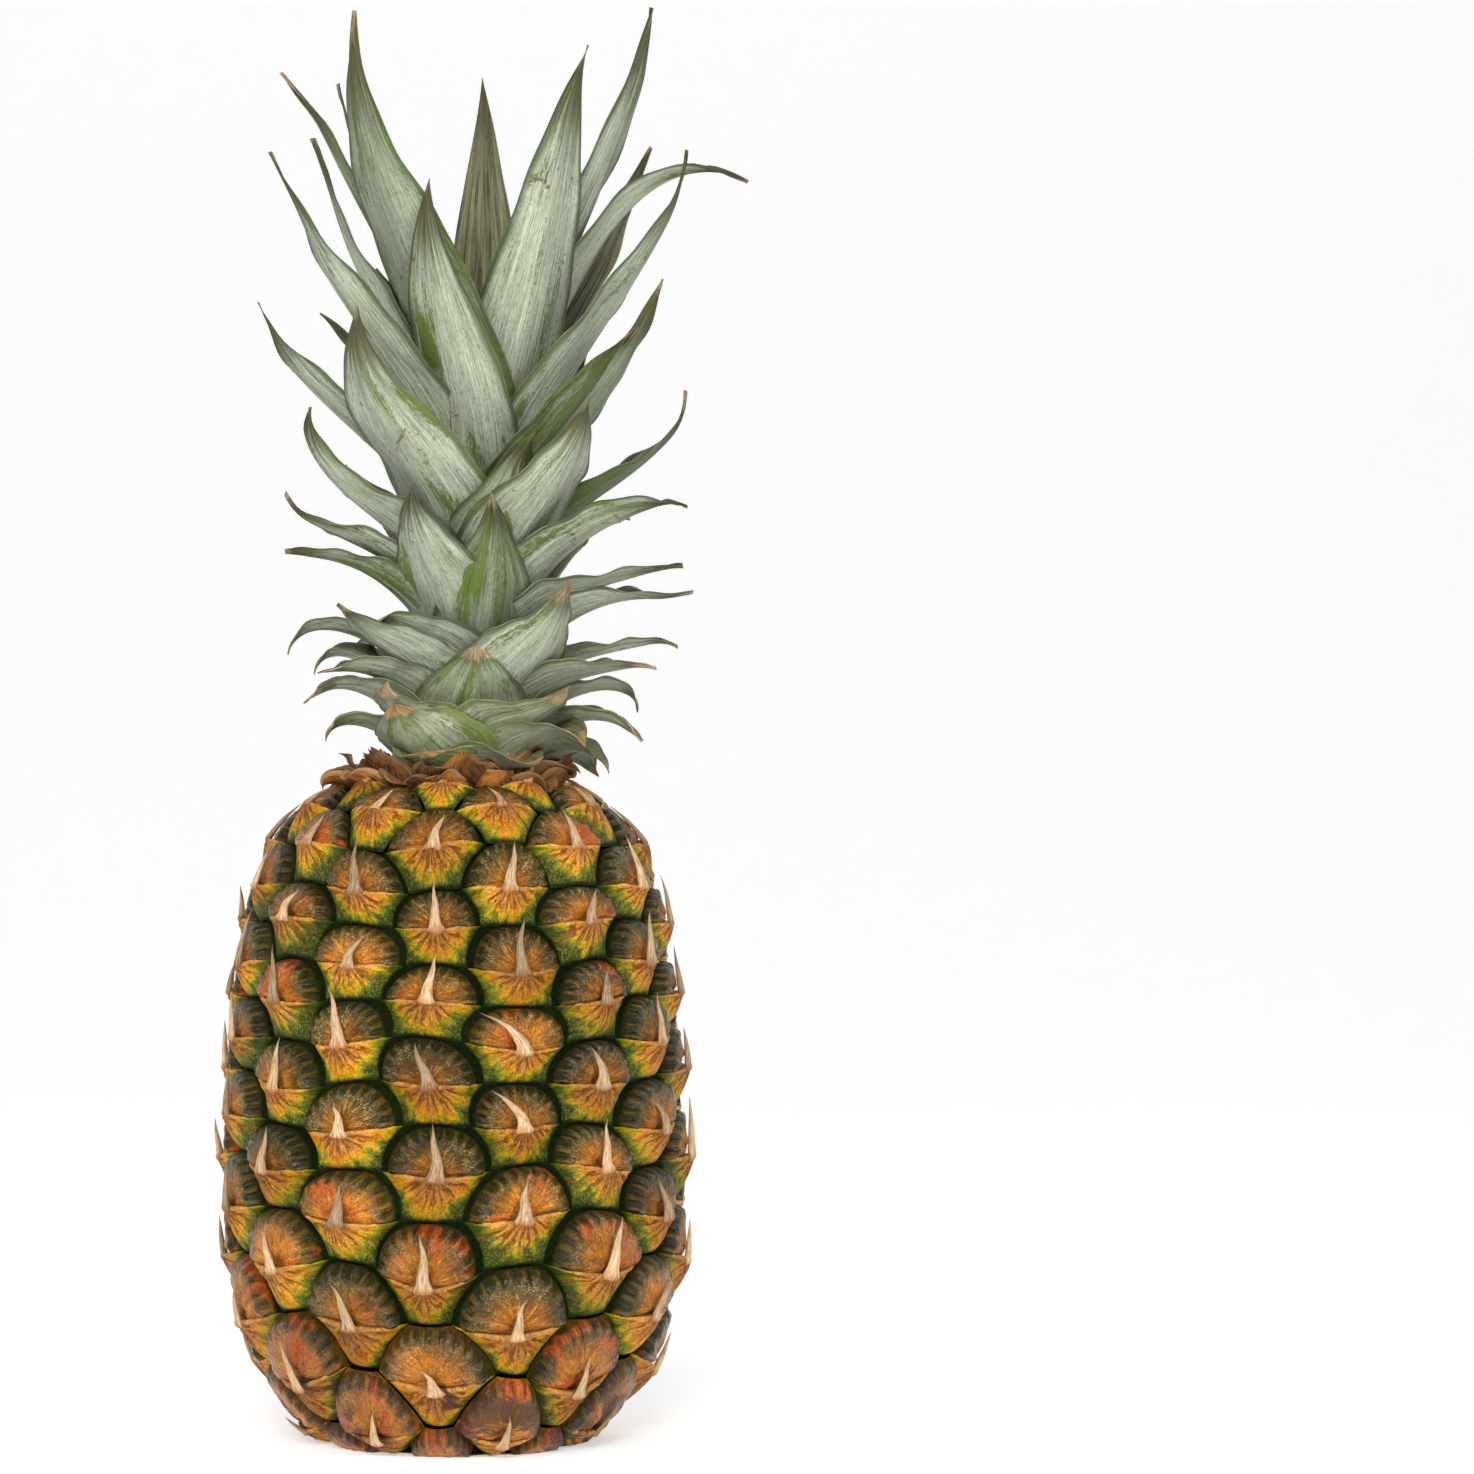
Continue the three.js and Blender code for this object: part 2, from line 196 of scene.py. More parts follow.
class Gather:
    """Collects grids of points in millimetres, and what their materials read, into one mesh."""

    def __init__(self):
        self.points = []
        self.quads = []
        self.values = {}
        self.count = 0

    def add(self, points, quads, **values):
        self.points.append(points)
        self.quads.append(quads + self.count)
        self.count += len(points)
        for key, value in values.items():
            self.values.setdefault(key, []).append(value)

    def build(self, name, node, material):
        """Makes one smooth mesh piece, in metres, that rides on the one body."""
        points = np.concatenate(self.points) * MM
        quads = np.concatenate(self.quads).astype(np.int32)
        mesh = bpy.data.meshes.new(name)
        mesh.vertices.add(len(points))
        mesh.vertices.foreach_set("co", points.astype(np.float32).ravel())
        mesh.loops.add(quads.size)
        mesh.loops.foreach_set("vertex_index", quads.ravel())
        mesh.polygons.add(len(quads))
        mesh.polygons.foreach_set("loop_start", np.arange(0, quads.size, 4, dtype=np.int32))
        mesh.polygons.foreach_set("loop_total", np.full(len(quads), 4, dtype=np.int32))
        mesh.polygons.foreach_set("use_smooth", np.ones(len(quads), dtype=bool))
        mesh.materials.append(material)
        mesh.update(calc_edges=True)
        for key, parts in self.values.items():
            attribute = mesh.attributes.new(key, "FLOAT_VECTOR", "POINT")
            attribute.data.foreach_set("vector", np.concatenate(parts).astype(np.float32).ravel())
        mesh.validate()
        piece = add_object(name, mesh)
        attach(piece, "root")
        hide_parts(node)


# The fruit's form

def outer_form(row):
    """Radius, height and slope of the fruit's outer form at rows that may be fractions."""
    place = np.clip(row - FIRST_ROW, 0, len(ROWS) - 1 - 1e-6)
    index = place.astype(int)
    t = (place - index)[..., None]
    last = len(ROWS) - 1
    p0 = ROWS[np.maximum(index - 1, 0)]
    p1 = ROWS[index]
    p2 = ROWS[np.minimum(index + 1, last)]
    p3 = ROWS[np.minimum(index + 2, last)]
    bend = 2 * p0 - 5 * p1 + 4 * p2 - p3
    twist = 3 * p1 - p0 - 3 * p2 + p3
    point = 0.5 * (2 * p1 + (p2 - p0) * t + bend * t ** 2 + twist * t ** 3)
    slope = 0.5 * ((p2 - p0) + 2 * bend * t + 3 * twist * t ** 2)
    return point, unit(slope)


def cell_width(row):
    return np.interp(row - FIRST_ROW, np.arange(len(ROWS)), ROWS[:, 0]) * COLUMN_TURN


def row_point(row):
    return ROWS[int(np.clip(row - FIRST_ROW, 0, len(ROWS) - 1))]


def row_step(row):
    return math.hypot(*(row_point(row + 1) - row_point(row - 1))) / 2


def side_reach(row):
    """How far a fruitlet's side corners lie from its middle, in columns."""
    if row <= FIRST_ROW or row >= LAST_ROW:
        return END_REACH
    return float(np.clip(0.5 * (1 + (row_step(row) / cell_width(row)) ** 2), *SIDE_LIMITS))


def drift(kinds, turn, row):
    return sum(high * np.sin(many * turn + upward * row + phase) for high, many, upward, phase in kinds)


def skin(column, row, height):
    """Points of the fruit at columns and rows that may be fractions and heights over its outer form."""
    turn = column * COLUMN_TURN
    calm = smooth(-1, 1, row) * (1 - smooth(13, 15, row))
    column = column + calm * drift(SHIFT_WAVES, turn, row)
    row = row + calm * drift(RISE_WAVES, turn, row)
    point, slope = outer_form(row)
    radius = point[..., 0] + slope[..., 1] * height
    z = point[..., 1] - slope[..., 0] * height
    angle = FIRST_COLUMN + column * COLUMN_TURN
    return np.stack([np.sin(angle) * radius, -np.cos(angle) * radius, np.maximum(z, 0)], axis=-1)


# Lines of a fruitlet's grid: across it, down its eye, and down its bract
ACROSS = 22
EVEN_LINE = np.linspace(-1, 1, ACROSS + 1)
ACROSS_LINE = 0.55 * EVEN_LINE + 0.45 * np.sin(EVEN_LINE * math.pi / 2)
EYE_LINE = np.array([
    1, 0.97, 0.93, 0.88, 0.82, 0.74, 0.65, 0.55, 0.45, 0.36, 0.28, 0.21, 0.15, 0.1, 0.06, 0.02,
])
FLAP_LINE = np.array([0.04, 0.09, 0.16, 0.25, 0.35, 0.46, 0.57, 0.68, 0.78, 0.87, 0.94, 1])

# How fruitlets differ: ranges of swell, phase, tilt, sag, slant and own number
CELL_RANGES = ((0.85, 1.15), (0, 6.28), (-0.07, 0.07), (0.6 * SAG, 1.3 * SAG), (-0.08, 0.08), (0, 1))
# How far their sides bulge between the corners, in columns
BULGE = 0.075

# The eye: its outline's power, where its dome ends, and the heights on it
OVAL_POWER = 2.3
DOME_EDGE = (0.86, 1.03)
DOME_HEIGHT = 0.9
RIM_HEIGHT = 0.25
DIMPLE_DEPTH = 1.7
GAP_DEPTH = 1.5
LOBES = 13
LOBE_HEIGHT = 0.25
# Folds round the dimple: how many, which phase, how high
FOLDS = ((5, 2, 0.3), (9, 5, 0.25))

# How far the lip lies over the ridge, in rows of fruitlets and in millimetres
LIP = ((0.05, -0.75), (0.06, 0.1), (0.035, 0.55), (0.0, 0.42))
# Its ripples: how many, which phase, how high
RIPPLES = ((9, 1, 0.16), (19, 3, 0.12), (41, 2, 0.08))

# The bract: the boss under the dry tip, the hollows beside it, and its ribs, given as the folds are
BOSS_HEIGHT = 1.0
HOLLOW_DEPTH = 0.6
RIBS = ((9, 1, 0.3), (15, 4, 0.2))

Cell = namedtuple("Cell", "column row side upper lower size swell phase tilt sag slant pick")


def drawn(ranges, draw):
    return [mix(low, high, draw()) for low, high in ranges]


def read_cell(column, row, draw):
    """A fruitlet's half widths at its ridge, top and foot, its size, and how it differs from others."""
    widths = side_reach(row), 1 - side_reach(row + 1), 1 - side_reach(row - 1)
    size = min(1.0, float(cell_width(max(row, 0))) / FULL_CELL)
    return Cell(column, row, *widths, size, *drawn(CELL_RANGES, draw))


def bell(distance, width):
    return np.exp(-(distance / width) ** 2)


def waves(place, phase, kinds):
    """The sum of some cosine waves, each given as how many, which phase and how high."""
    return sum(np.cos(place * many + phase * shift) * high for many, shift, high in kinds)


def patch(*values):
    """Stacks each point's place across and up, its height, and three values for the material."""
    return np.stack(np.broadcast_arrays(*values), axis=-1)


def eye_patch(cell, ridge_y):
    """The domed eye, with folds round a dimple over the ridge and small lobes round its rim."""
    a = ACROSS_LINE[None, :]
    y = mix(ridge_y, 1, EYE_LINE[:, None])
    bulge = BULGE * np.sin(np.clip(y, 0, 1) * math.pi)
    x = a * np.where(y > 0, mix(cell.side, cell.upper, y) + bulge, mix(cell.side, cell.lower, -y))
    above = y - ridge_y

    # From 0 in the eye's middle to 1 where it meets the crease
    oval_across = (np.abs(x - cell.tilt * 0.4) / (cell.side * 0.95)) ** OVAL_POWER
    oval_up = (np.maximum(y + 0.1, 0) / 1.12) ** OVAL_POWER
    oval = (oval_across + oval_up) ** (1 / OVAL_POWER)
    rho = (oval ** 10 + (0.98 * np.abs(a)) ** 10) ** (1 / 10)

    theta = np.arctan2(y - 0.02, x * 1.6 - cell.tilt)
    dome = 1 - smooth(*DOME_EDGE, rho)
    top = EYE_TOP + DOME_HEIGHT * cell.swell * (1 - np.minimum(rho / 0.9, 1) ** 2)
    top = top + RIM_HEIGHT * bell(rho - 0.76, 0.1)
    top = top - DIMPLE_DEPTH * bell(x - cell.tilt, 0.09) * bell(y - 0.04, 0.17)
    lobes = np.cos(theta * LOBES + cell.phase) * smooth(0.55, 0.82, rho) * LOBE_HEIGHT
    folds = waves(theta, cell.phase, FOLDS) * (1 - smooth(0.4, 0.85, rho))
    height = CREASE + (top + lobes + folds - CREASE) * dome
    height = height - GAP_DEPTH * bell(above, 0.1) * (1 - a ** 2)
    return patch(x, y, height, x / cell.side, np.maximum(above, 0.006), rho)


def lip_patch(cell, ridge_y):
    """The bract's upper edge turns over into a thin dry rippled lip."""
    a = ACROSS_LINE[None, :]
    crest = CREASE + (RIDGE - CREASE) * (1 - np.abs(a) ** 2.5)
    ripple = sum(high * np.sin(a * many + cell.phase * shift) for many, shift, high in RIPPLES)
    thin = 1 - a ** 4
    y = np.concatenate([ridge_y + (rise + 0.05 * ripple) * thin for rise, over in LIP])
    height = np.concatenate([crest + (over + ripple) * thin for rise, over in LIP])
    tone_y = -0.012 * np.arange(1, len(LIP) + 1)[:, None]
    return patch(a * cell.side, y, height, a, tone_y, np.abs(a))


def bract_patch(cell, ridge_y):
    """The bract falls from its ridge to the crease below, with a boss, two hollows and ribs that fan out."""
    a = ACROSS_LINE[None, :]
    down = FLAP_LINE[:, None]
    y = mix(ridge_y, -1, down)
    x = a * (mix(cell.side, cell.lower, -y) - BULGE * np.sin(-y * math.pi))
    fall = (1 - down ** 3.2) ** 0.7 * (1 - 0.25 * down)
    edge = (1 - np.abs(a) ** (2.5 - 0.8 * smooth(0, 0.4, down))) ** 0.85
    height = CREASE + (RIDGE + 0.2 - CREASE) * cell.swell ** 0.3 * fall * edge
    boss = BOSS_HEIGHT * bell(x, 0.1) * bell(down, 0.38)
    hollow = HOLLOW_DEPTH * bell(np.abs(a) - 0.5, 0.2) * smooth(0, 0.3, down) * (1 - down)
    fan = np.arctan2(x * 1.8, down + 0.1)
    ribs = waves(fan, cell.phase, RIBS) * edge * (1 - down) ** 0.6
    return patch(x, y, height + boss - hollow + ribs, x / cell.side, -down - 0.02, np.abs(a))


def add_fruitlet(skin_mesh, spine_mesh, column, row, draw):
    """One fruitlet: a domed eye above, a bract below, and the bract's thin lip and dry tip over the eye."""
    cell = read_cell(column, row, draw)
    # The ridge between eye and bract sags between its ends
    a = ACROSS_LINE[None, :]
    ridge_y = (cell.slant * a - cell.sag) * (1 - np.abs(a) ** 1.9)
    grid = np.concatenate([eye_patch(cell, ridge_y), lip_patch(cell, ridge_y), bract_patch(cell, ridge_y)])
    x, y, height, tone_x, tone_y, rho = grid.reshape(-1, 6).T
    same = np.ones(len(x))
    points = skin(column + x, row + y, height * cell.size)
    quads = grid_quads(len(grid), ACROSS + 1)
    level = (row - FIRST_ROW) / len(ROWS)
    skin_mesh.add(
        points,
        quads[:, ::-1],
        cell=np.stack([tone_x, tone_y, same * cell.pick], axis=1),
        form=np.stack([rho, same * draw(), same * level], axis=1),
    )
    if SPINE_ROWS[0] <= row <= SPINE_ROWS[1]:
        add_spine(spine_mesh, cell, draw)


# The dry tip: rings from foot to point, and half its width at each
SPINE_ROWS = (0, 15)
SPINE_RINGS = np.array([0, 0.04, 0.09, 0.14, 0.2, 0.28, 0.4, 0.55, 0.7, 0.86, 1])
SPINE_WIDTHS = np.array([2.1, 2.8, 2.9, 2.35, 1.95, 1.75, 1.45, 1.1, 0.75, 0.35, 0.04])
SPINE_SIDES = 8
# How far its foot reaches below the ridge, in rows
SPINE_FOOT = 0.07
# How tips differ: ranges of length, lean, hook and lift, and of girth
SPINE_RANGES = ((0.66, 1.1), (-0.12, 0.12), (-0.12, 0.12), (0.3, 2.3))
SPINE_GIRTHS = (0.8, 1.05)
# The share that is short and strongly hooked
HOOKED_SHARE = 0.22


def add_spine(mesh, cell, draw):
    """The dry tip: a bell-shaped foot on the bract's ridge and a long thin point over the eye."""
    length, lean, hook, lift = drawn(SPINE_RANGES, draw)
    length *= SPINE_LENGTH * cell.size
    lean += cell.tilt
    if draw() < HOOKED_SHARE:
        length *= 0.7
        hook *= 3
        lift *= 1.8

    # Its middle line on the fruit
    t = SPINE_RINGS
    start = -cell.sag - SPINE_FOOT
    along = start + (length / row_step(cell.row) - start) * t
    sideways = lean * t ** 1.6 + hook * t ** 3 + 0.02 * np.sin(t * 9 + lift * 5) * t
    height = np.interp(t, [0, 0.08, 0.2, 0.5, 1], [0.6, 1.2, 1.1, 0.8 + lift * 0.3, lift * 0.9])
    centre = skin(cell.column + sideways, cell.row + along, height * cell.size)

    # A flat section with a keel on its outer side
    ahead = unit(np.gradient(centre, axis=0))
    angle = FIRST_COLUMN + cell.column * COLUMN_TURN
    right = np.array([math.cos(angle), math.sin(angle), 0.0])
    out = unit(np.cross(right, ahead))
    right = unit(np.cross(ahead, out))
    turn = circle(SPINE_SIDES)
    wide = (SPINE_WIDTHS * cell.size * mix(*SPINE_GIRTHS, draw()))[:, None, None]
    flat = np.interp(t, [0, 0.2, 1], [0.22, 0.42, 0.6])[:, None, None]
    keel = np.maximum(np.sin(turn), 0) ** 2 * 0.35
    ring_right = np.cos(turn)[None, :, None] * wide * right[:, None, :]
    ring_out = (np.sin(turn) + keel)[None, :, None] * wide * flat * out[:, None, :]
    points = (centre[:, None, :] + ring_right + ring_out).reshape(-1, 3)
    points[:, 2] = np.maximum(points[:, 2], 0)
    place = np.stack([
        np.tile(turn / 6.283, len(t)),
        np.repeat(t, SPINE_SIDES),
        np.full(len(points), draw()),
    ], axis=1)
    mesh.add(points, tube_quads(len(t), SPINE_SIDES), cell=place)


def make_fruitlets(skin_material, spine_material):
    draw = seeded(FRUITLET_SEED)
    skin_mesh = Gather()
    spine_mesh = Gather()
    for row in range(FIRST_ROW + 1, LAST_ROW):
        for column in range(COLUMNS):
            if (column + row) % 2:
                add_fruitlet(skin_mesh, spine_mesh, column, row, draw)
    skin_mesh.build("fruitlets", "fruit", skin_material)
    spine_mesh.build("dry_tips", "fruit", spine_material)


# How deep the dark skin lies under the creases
CREASE_SKIN = 0.35


def make_creases(material):
    """A dark skin just under the creases."""
    rows = np.linspace(-0.6, 16, 90)
    columns = np.arange(0, COLUMNS, 0.2)
    grid_row = np.repeat(rows, len(columns))
    grid_column = np.tile(columns, len(rows))
    points = skin(grid_column, grid_row, np.full(grid_row.size, CREASE - CREASE_SKIN))
    inside = Gather()
    inside.add(points, tube_quads(len(rows), len(columns)), cell=np.zeros((len(points), 3)))
    inside.build("creases", "fruit", material)


# The underside round the cut stalk, from the outside in: radius and height
STALK_PROFILE = np.array([
    (32, 0.5), (26, 0.25), (20, 0.3), (14.5, 0.2), (14.2, 2.2), (12.3, 2.3), (12, 0.15), (11, 0.04),
    (8, 0.1), (4.5, 0.04), (0.1, 0.08),
])
STALK_SIDES = 48


def make_cut_stalk(material):
    """The cut stalk underneath, in a groove, with the skin round it."""
    turn = circle(STALK_SIDES)
    draw = seeded(STALK_SEED)
    rough = np.array([mix(0.7, 1.3, draw()) for _ in turn])
    radius = STALK_PROFILE[:, 0][:, None] * (1 + 0.02 * np.sin(turn * 5)[None, :])
    height = STALK_PROFILE[:, 1][:, None] * rough[None, :]
    points = np.stack([radius * np.sin(turn), -radius * np.cos(turn), height], axis=-1).reshape(-1, 3)
    under = Gather()
    under.add(points, tube_quads(len(STALK_PROFILE), STALK_SIDES), cell=points / 30)
    under.build("cut_stalk", "fruit", material)


# Leaves

def crown_axis(z):
    return CROWN_LEAN * np.sqrt(np.maximum(0, z - STEM_FOOT))


def bezier(points, t):
    p0, p1, p2, p3 = (p[None, :] for p in points)
    t = t[:, None]
    return (1 - t) ** 3 * p0 + 3 * (1 - t) ** 2 * t * p1 + 3 * (1 - t) * t ** 2 * p2 + t ** 3 * p3


def turned(angle, length):
    return np.array([math.sin(angle), 0, math.cos(angle)]) * length


# Blades: points along and across, thickness, height of the edge's waves, whether the stem's lean counts
Blade = namedtuple("Blade", "lengthwise crosswise thickness ripple leaned")
CROWN_BLADE = Blade(44, 15, 1.8, 0.75, True)
BRACT_BLADE = Blade(16, 9, 0.9, 0.3, False)
SCALE_BLADE = Blade(16, 9, 0.8, 0.3, False)
# Blades shorter than this have lower waves and bends
CALM_LENGTH = 55
# The most that a leaf's end bends and its blade sways
END_BEND = 3.5
SWAY = 1.4
# The most that it twists, in radians
TWIST = 0.35


def leaf_chord(leaf):
    return math.hypot(leaf["reach"] - leaf["root_radius"], leaf["tip_z"] - leaf["root_z"])


def leaf_path(leaf, t, leaned):
    """The leaf's middle line, as in the solid, and the directions across it and out of its back."""
    angle = math.radians(leaf["where"])
    out = np.array([math.sin(angle), -math.cos(angle), 0])
    right = np.array([math.cos(angle), math.sin(angle), 0])
    chord = leaf_chord(leaf)
    root = np.array([leaf["root_radius"], 0, leaf["root_z"]])
    tip = np.array([leaf["reach"], leaf["side"], leaf["tip_z"]])
    curve = (
        root,
        root + turned(math.radians(leaf["root_turn"]), chord * 0.42),
        tip - turned(math.radians(leaf["tip_turn"]), chord * 0.38),
        tip,
    )
    path = bezier(curve, t)
    centre = path[:, 0:1] * out + path[:, 1:2] * right
    centre[:, 2] = path[:, 2]
    if leaned:
        centre[:, 0] += crown_axis(path[:, 2])
    along = unit(np.gradient(centre, axis=0))
    across = unit(right[None, :] - along * (along @ right)[:, None])
    return centre, across, np.cross(across, along)


def add_leaf(mesh, leaf, blade, draw):
    """One blade with an outer and an inner face, keeled, twisted and bent at its end."""
    t = np.linspace(0, 1, blade.lengthwise)
    centre, across, back = leaf_path(leaf, t, blade.leaned)
    chord = leaf_chord(leaf)
    calm = min(1, chord / CALM_LENGTH)

    phase = draw() * 6.28
    spin = mix(-1, 1, draw()) * leaf.get("twist", TWIST) * smooth(0.35, 1, t)
    across, back = (
        across * np.cos(spin)[:, None] + back * np.sin(spin)[:, None],
        back * np.cos(spin)[:, None] - across * np.sin(spin)[:, None],
    )
    base = 0.85 + 0.15 * np.sin(np.minimum(1, t / 0.3) * math.pi / 2)
    half = leaf["width"] / 2 * base * (1 - t ** 2.6) ** 1.12 + 0.22 * (1 - t ** 6) + 0.03
    keel = half * mix(0.5, 0.36, t)
    end = np.maximum(0, (t - 0.84) / 0.16) ** 2
    curl = mix(-1, 1, draw()) * leaf.get("curl", END_BEND * calm)
    hook = mix(-1, 1, draw()) * leaf.get("curl", END_BEND * calm)
    sway = mix(-1, 1, draw()) * SWAY * np.sin(t * math.pi * 1.6) * smooth(0.1, 0.5, t)
    centre = centre + (end * curl)[:, None] * back + (end * hook + sway)[:, None] * across

    # Across the blade, from edge to edge
    s = np.linspace(-1, 1, blade.crosswise)
    sweep = s * (0.8 + 0.2 * s ** 2)
    run = t[:, None] * 15 + phase + s[None, :] * 2.5
    wave = blade.ripple * calm * (np.sin(run) + 0.5 * np.sin(run * 2.3 + 1))
    wave = wave * smooth(0.1, 0.5, t)[:, None] * np.abs(s)[None, :] ** 2.5
    depth = -keel[:, None] * np.abs(s)[None, :] ** 1.5 + wave
    middle = (
        centre[:, None, :]
        + (half[:, None] * sweep[None, :])[..., None] * across[:, None, :]
        + depth[..., None] * back[:, None, :]
    )
    thick_along = blade.thickness * (1 - 0.55 * t) * (1 - 0.8 * t ** 6)
    thick = thick_along[:, None] * (1 - 0.75 * np.abs(s)[None, :] ** 2) / 2
    outer = middle + thick[..., None] * back[:, None, :]
    inner = middle - thick[..., None] * back[:, None, :]
    rim = np.concatenate([outer, inner[:, ::-1]], axis=1)

    rows, columns = rim.shape[:2]
    same = np.ones(rows * columns)
    pick = 0.7 * draw() + 0.3 * leaf.get("worn", 0)
    place_across = np.tile(np.concatenate([s, s[::-1]]), rows)
    place_along = np.repeat(t, columns)
    face = np.tile(np.concatenate([np.zeros(len(s)), np.ones(len(s))]), rows)
    mesh.add(
        rim.reshape(-1, 3),
        tube_quads(rows, columns),
        cell=np.stack([place_across, place_along, same * pick], axis=1),
        form=np.stack([face, same * leaf["rank"], same * (chord / 100)], axis=1),
    )


LEAF_MEASURES = ("where", "root_z", "reach", "tip_z", "tip_turn", "width", "side")


def crown_leaf(values):
    """A leaf's measures. Its rank goes from 0 at the foot of the stem to 1 at its top."""
    leaf = dict(zip(LEAF_MEASURES, values))
    rank = (leaf["root_z"] - STEM_FOOT) / (STEM_TOP - STEM_FOOT)
    leaf["rank"] = rank
    leaf["root_turn"] = mix(42, 6, rank)
    leaf["root_radius"] = mix(19, 7, rank ** 0.5) - 3
    return leaf


def back_leaves():
    """Leaves round the back follow a spiral up the stem, as in the solid."""
    draw = seeded(BACK_SEED)
    leaves = []
    for n in range(BACK_COUNT):
        up = (n + 0.5) / BACK_COUNT
        turn = (n * BACK_STEP) % (2 * BACK_SPREAD) - BACK_SPREAD
        root_z = mix(164, 228, up ** 1.2)
        rise = mix(4, 118, up ** 1.35) + 10 * (draw() - 0.5)
        reach = mix(36, 54, up) + 10 * (draw() - 0.5)
        tip_turn = mix(150, 12, up ** 0.6) + 20 * (draw() - 0.5)
        values = (180 + turn, root_z, reach, root_z + rise, tip_turn, mix(26, 24, up), 6 * (draw() - 0.5))
        leaves.append(crown_leaf(values))
    return leaves


def make_leaves(material):
    draw = seeded(LEAF_SEED)
    leaves = [crown_leaf(values) for values in FRONT_LEAVES] + back_leaves()
    for index in WORN_LEAVES:
        leaves[index]["worn"] = 1
    mesh = Gather()
    for leaf in leaves:
        add_leaf(mesh, leaf, CROWN_BLADE, draw)
    mesh.build("leaves", "crown", material)


# The stem between the roots of the leaves: radius and height
STEM_PROFILE = np.array([
    (19.5, STEM_FOOT), (18.5, 170), (13, 190), (10, 210), (7, 228), (3, 246), (0.1, 249),
])
STEM_SIDES = 40
# The stem looks like this place on a worn leaf
STEM_LOOK = (0, 0.5, 0.9)


def make_crown_stem(material):
    turn = circle(STEM_SIDES)
    radius = STEM_PROFILE[:, 0][:, None] * (1 + 0.02 * np.sin(9 * turn))[None, :]
    x = radius * np.sin(turn) + crown_axis(STEM_PROFILE[:, 1])[:, None]
    z = np.repeat(STEM_PROFILE[:, 1], STEM_SIDES).reshape(radius.shape)
    points = np.stack([x, -radius * np.cos(turn), z], axis=-1).reshape(-1, 3)
    look = np.tile(STEM_LOOK, (len(points), 1))
    stem = Gather()
    stem.add(points, tube_quads(len(STEM_PROFILE), STEM_SIDES), cell=look, form=look * 0)
    stem.build("crown_stem", "crown", material)


# Rings of dry bracts: added radius, drop of the roots, drop of the tips, turn of the roots
BRACT_RINGS = ((-1, 0, 0, 25), (1.5, 0.4, 1.5, 45), (3.5, 1.2, 3.5, 60))


def shoulder_bract(n, draw):
    added, drop, tip_drop, root_turn = BRACT_RINGS[n % len(BRACT_RINGS)]
    droop = draw()
    radius = BRACT_RADIUS + added
    return {
        "where": (n + 0.8 * draw()) * 360 / BRACT_COUNT,
        "root_z": BRACT_Z - drop,
        "root_radius": radius,
        "root_turn": root_turn + 20 * (draw() - 0.5),
        "reach": radius + 2 + 8 * draw(),
        "tip_z": mix(173.5, 165, droop) - tip_drop,
        "tip_turn": mix(10, 150, droop),
        "width": 8 + 8 * draw(),
        "side": 8 * (draw() - 0.5),
        "twist": 0.9,
        "curl": 2,
        "rank": 0,
    }


# Ranges of the dry scales' measures
SCALE_RANGES = {
    "root_turn": (0, 10),
    "reach": (20.8, 23.5),
    "tip_z": (170, 177),
    "tip_turn": (-5, 30),
    "width": (9, 14),
    "side": (-3, 3),
}
SCALE_ROOT = {"root_z": STEM_FOOT - 1, "root_radius": 19.8, "twist": 0.4, "curl": 1, "rank": 0}


def stem_scale(n, draw):
    """A dry scale against the foot of the stem, lower in front, where leaves hide it."""
    where = (n + 0.6 * draw()) * 360 / SCALE_COUNT
    scale = {key: mix(low, high, draw()) for key, (low, high) in SCALE_RANGES.items()}
    scale["tip_z"] -= 6 * max(0, math.cos(math.radians(where)))
    return {"where": where, **scale, **SCALE_ROOT}


def make_dry_bracts(material):
    draw = seeded(BRACT_SEED)
    dry = Gather()
    for n in range(BRACT_COUNT):
        add_leaf(dry, shoulder_bract(n, draw), BRACT_BLADE, draw)
    for n in range(SCALE_COUNT):
        add_leaf(dry, stem_scale(n, draw), SCALE_BLADE, draw)
    dry.build("dry_bracts", "fruit", material)


# Materials

